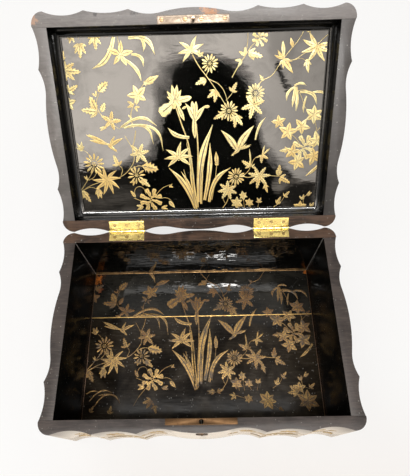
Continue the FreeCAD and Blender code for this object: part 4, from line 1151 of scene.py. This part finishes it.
# the paper under the box: lit as paper, and shown to the camera and to gloss nearly white, with a painted shadow and a
# painted warm reflection in front of the box
def makeStage():
    bpy.ops.mesh.primitive_circle_add(vertices=96, radius=studio["floorSize"] / 2,
                                      fill_type="NGON", location=(0, 0, 0))
    table = bpy.context.object
    table.name = "table"
    material, tree, shader = newMaterial("tableWhite", Roughness=0.8, Specular_IOR_Level=0.1)
    where = put(tree, "TexCoord").outputs["Object"]
    shade = noiseOf(tree, where, 3.0, 2)
    tone = studio["floorTone"]
    wire(tree, blendColors(tree, shade, tone + (1,), tuple(v * 0.98 for v in tone) + (1,)),
         shader.inputs["Base Color"])
    split = put(tree, "SeparateXYZ")
    wire(tree, where, split.inputs[0])
    # painted shadow: a darker, warmer patch on the paper in front of the box, in what the camera and gloss see
    near = between(tree, split.outputs["Y"], -0.24, -0.02, 1.0, 0.0)
    near = math2(tree, "MULTIPLY", near, between(tree, split.outputs["X"], -0.25, -0.02))
    near = math2(tree, "MULTIPLY", near, between(tree, split.outputs["Y"], -0.75, -0.36))
    near = math2(tree, "MULTIPLY", near, between(tree, split.outputs["X"], 0.25, 0.7, 1.0, 0.0))
    glowing = put(tree, "Emission")
    path = put(tree, "LightPath").outputs
    shown = blendColors(tree, near, studio["white"] + (1,), studio["paintedShadowTone"] + (1,))
    # painted reflection: gloss sees the paper in front of the box tinted by warm bounced light
    paintedBounce = math2(tree, "MULTIPLY", path["Is Glossy Ray"],
                 between(tree, split.outputs["Y"], -0.35, -0.11, 0.0, 0.75))
    wire(tree, blendColors(tree, paintedBounce, shown, studio["bounce"] + (1,)), glowing.inputs["Color"])
    mixed = put(tree, "MixShader")
    seen = math2(tree, "MAXIMUM", math2(tree, "MAXIMUM", path["Is Camera Ray"],
                                        path["Is Glossy Ray"]), path["Is Transmission Ray"])
    wire(tree, math2(tree, "MULTIPLY", seen, studio["shown"]), mixed.inputs[0])
    wire(tree, shader.outputs[0], mixed.inputs[1])
    wire(tree, glowing.outputs[0], mixed.inputs[2])
    wire(tree, mixed.outputs[0], tree.nodes["Material Output"].inputs["Surface"])
    table.data.materials.append(material)


makeStage()


def makeWorld():
    world = bpy.data.worlds.new("studio")
    bpy.context.scene.world = world
    world.use_nodes = True
    tree = world.node_tree
    tree.nodes.clear()
    path = put(tree, "LightPath").outputs
    seen = math2(tree, "MAXIMUM", math2(tree, "MAXIMUM", path["Is Camera Ray"],
                                        path["Is Glossy Ray"]), path["Is Transmission Ray"])
    soft = put(tree, "Background", {"Color": (1, 0.985, 0.965, 1), "Strength": 0.7})
    plain = put(tree, "Background", {"Color": studio["white"] + (1,), "Strength": 1.0})
    mixed = put(tree, "MixShader")
    wire(tree, seen, mixed.inputs[0])
    wire(tree, soft.outputs[0], mixed.inputs[1])
    wire(tree, plain.outputs[0], mixed.inputs[2])
    out = put(tree, "OutputWorld")
    wire(tree, mixed.outputs[0], out.inputs["Surface"])


makeWorld()


def softLamp(name, place, aim, size, power, tint=(1, 1, 1), depth=None):
    bpy.ops.object.light_add(type="AREA", location=place)
    lamp = bpy.context.object
    lamp.name = name
    lamp.data.shape = "RECTANGLE" if depth else "DISK"
    lamp.data.size = size
    if depth:
        lamp.data.size_y = depth
    lamp.data.energy = power
    lamp.data.color = tint
    lamp.rotation_euler = (Vector(aim) - Vector(place)).to_track_quat("-Z", "Y").to_euler()


softLamp("keyLamp", (0, -0.55, 1.6), (0, 0.05, 0.1), 1.5, 9.0, depth=0.3)
softLamp("fillLamp", (-1.1, 0.4, 1.3), (0, 0.05, 0.05), 1.2, 4.0)

# what the lid mirrors: a bright wall, and the dark shape of whoever looks into the box;
# given as places on the lid panel, as they are seen there
mirrored = {
    "foot": (7.6, 19.1), "reach": 6.0, "distance": 444.6,
    "wall": [(-1500, -15), (-300, -40), (-300, -130), (300, -130), (300, -40), (1500, -15),
             (1500, 99), (-1500, 99)],
    "shape": [(-260, -36), (-110, -39), (-85, -44), (-62, -38), (-46, -28),
              (-36, -8), (-31, 20), (-28, 42), (-21, 57), (-8, 64), (8, 66), (26, 62), (42, 54),
              (52, 44), (58, 28), (62, 6), (67, -18), (77, -36), (92, -52), (120, -58),
              (260, -64), (260, -103), (-260, -103)],
    "bar": [(75.5, 54), (80.5, 56), (96, 33.5), (91, 30)],
    "leftPatch": [(-260, -34), (-112, -37), (-84, -43), (-64, -50), (-62, -100), (-260, -100)],
    "rightPatch": [(84, -44), (110, -54), (260, -60), (260, -100), (96, -100)],
    "haze": (6, (2.2, 1.0), 0.74),
    "strength": (5.3, 2.9), "tint": (1.0, 0.91, 0.81)}


def mirrorCard(name, outline, setBack, material):
    reach = mirrored["reach"] + setBack
    corners = []
    for u, v in outline:
        x = mirrored["foot"][0] + (u - mirrored["foot"][0]) * (1 + reach)
        w = mirrored["foot"][1] + (v - mirrored["foot"][1]) * (1 + reach)
        corners.append(lidPlace(x, w, inside["lidPanel"] - mirrored["distance"] * reach))
    mesh = bpy.data.meshes.new(name)
    mesh.from_pydata(corners, [], [list(range(len(corners)))])
    card = bpy.data.objects.new(name, mesh)
    bpy.context.scene.collection.objects.link(card)
    card.data.materials.append(material)
    stageOnly(card)


def stageOnly(card):
    card.visible_camera = False
    card.visible_diffuse = False
    card.visible_transmission = False
    card.visible_volume_scatter = False
    card.visible_shadow = False


# a plain glow, or one broken into lying streaks, one that fades to the right, or one whose
# far and near edges are soft, or one that is partly see-through
def glow(name, color, strength, broken=False, faded=None, edges=None, seeThrough=0.0):
    material = bpy.data.materials.new(name)
    material.use_nodes = True
    tree = material.node_tree
    tree.nodes.clear()
    light = put(tree, "Emission", {"Color": color + (1,), "Strength": strength})
    if broken:
        streaks = noiseOf(tree, put(tree, "TexCoord").outputs["Object"], 2.2, 3, 0.6, 0.5,
                          (1.0, 3.0, 3.0))
        wire(tree, between(tree, streaks, 0.46, 0.64, 0.1, strength), light.inputs["Strength"])
    if faded:
        split = put(tree, "SeparateXYZ")
        wire(tree, put(tree, "TexCoord").outputs["Object"], split.inputs[0])
        wire(tree, between(tree, split.outputs["X"], 0.05, 0.90, strength, faded),
             light.inputs["Strength"])
    if edges:
        split = put(tree, "SeparateXYZ")
        wire(tree, put(tree, "TexCoord").outputs["Object"], split.inputs[0])
        soft = (edges[1] - edges[0]) * 0.4
        rise = between(tree, split.outputs["Y"], edges[0], edges[0] + soft)
        fall = between(tree, split.outputs["Y"], edges[1] - soft, edges[1], strength, 0.0)
        wire(tree, math2(tree, "MULTIPLY", rise, fall), light.inputs["Strength"])
    out = put(tree, "OutputMaterial")
    wire(tree, light.outputs[0], out.inputs["Surface"])
    if seeThrough:
        mixed = put(tree, "MixShader", {0: seeThrough})
        wire(tree, light.outputs[0], mixed.inputs[1])
        wire(tree, put(tree, "BsdfTransparent").outputs[0], mixed.inputs[2])
        wire(tree, mixed.outputs[0], out.inputs["Surface"])
    return material


mirrorCard("brightWall", mirrored["wall"], 0.2,
           glow("brightWallGlow", mirrored["tint"], mirrored["strength"][0],
                faded=mirrored["strength"][1]))
darkTone = glow("darkFigureTone", (0.004, 0.004, 0.004), 1.0)
hazeTone = glow("figureHaze", (0.004, 0.004, 0.004), 1.0, seeThrough=mirrored["haze"][2])
mirrorCard("darkFigure", mirrored["shape"], 0.0, darkTone)
mirrorCard("darkBar", mirrored["bar"], 0.0, darkTone)
for step in range(1, mirrored["haze"][0] + 1):  # the figure's edge is soft
    left, right = (mirrored["haze"][1][side] * step for side in (0, 1))
    outline = [(u - left if u < 8 else u + right, v + 0.5 * left) if abs(u) < 100 else (u, v)
               for u, v in mirrored["shape"]]
    mirrorCard("figureHaze" + str(step), outline, 0.01 * step, hazeTone)
for side, strength in (("left", 0.65), ("right", 1.6)):
    mirrorCard(side + "Patch", mirrored[side + "Patch"], -0.1,
               glow(side + "PatchTone", (1.0, 0.88, 0.74), strength, broken=True))


# bright panes seen only in gloss: one that the cove catches, two behind the viewer that
# come back off the floor and the back wall together
def skyCard(name, x, y, z, strength, soft=True):
    mesh = bpy.data.meshes.new(name)
    mesh.from_pydata([(x[0], y[0], z), (x[1], y[0], z), (x[1], y[1], z), (x[0], y[1], z)],
                     [], [(0, 1, 2, 3)])
    card = bpy.data.objects.new(name, mesh)
    bpy.context.scene.collection.objects.link(card)
    card.data.materials.append(glow(name + "Glow", (1.0, 0.98, 0.95), strength,
                                    edges=y if soft else None))
    stageOnly(card)


skyCard("widePane", (-1.6, 1.6), (-1.62, -1.12), 3.03, 9.0)
skyCard("leftPane", (-0.64, -0.16), (-1.48, -1.30), 3.0, 120.0, False)
skyCard("rightPane", (0.10, 0.70), (-1.49, -1.28), 3.0, 380.0, False)
skyCard("covePane", (-1.6, 1.6), (-1.15, -0.26), 3.0, 11.0)
skyCard("highPane", (-1.6, 1.6), (1.44, 2.5), 3.0, 2.6)
skyCard("shadeAbove", (-0.62, 0.62), (-0.12, 0.62), 1.2, 0.3, False)


def makeCamera():
    data = bpy.data.cameras.new("camera")
    data.sensor_width = 36.0
    data.lens = 30.16
    data.shift_x = 0.0077
    data.shift_y = 0.0744
    data.clip_start = 0.01
    camera = bpy.data.objects.new("camera", data)
    bpy.context.scene.collection.objects.link(camera)
    camera.location = (0.00764, -0.11490, 0.47593)
    camera.rotation_euler = [math.radians(a) for a in (23.499, 1.1745, -0.7661)]
    bpy.context.scene.camera = camera


makeCamera()
bpy.context.scene.view_settings.view_transform = "Standard"
print("studio ready")
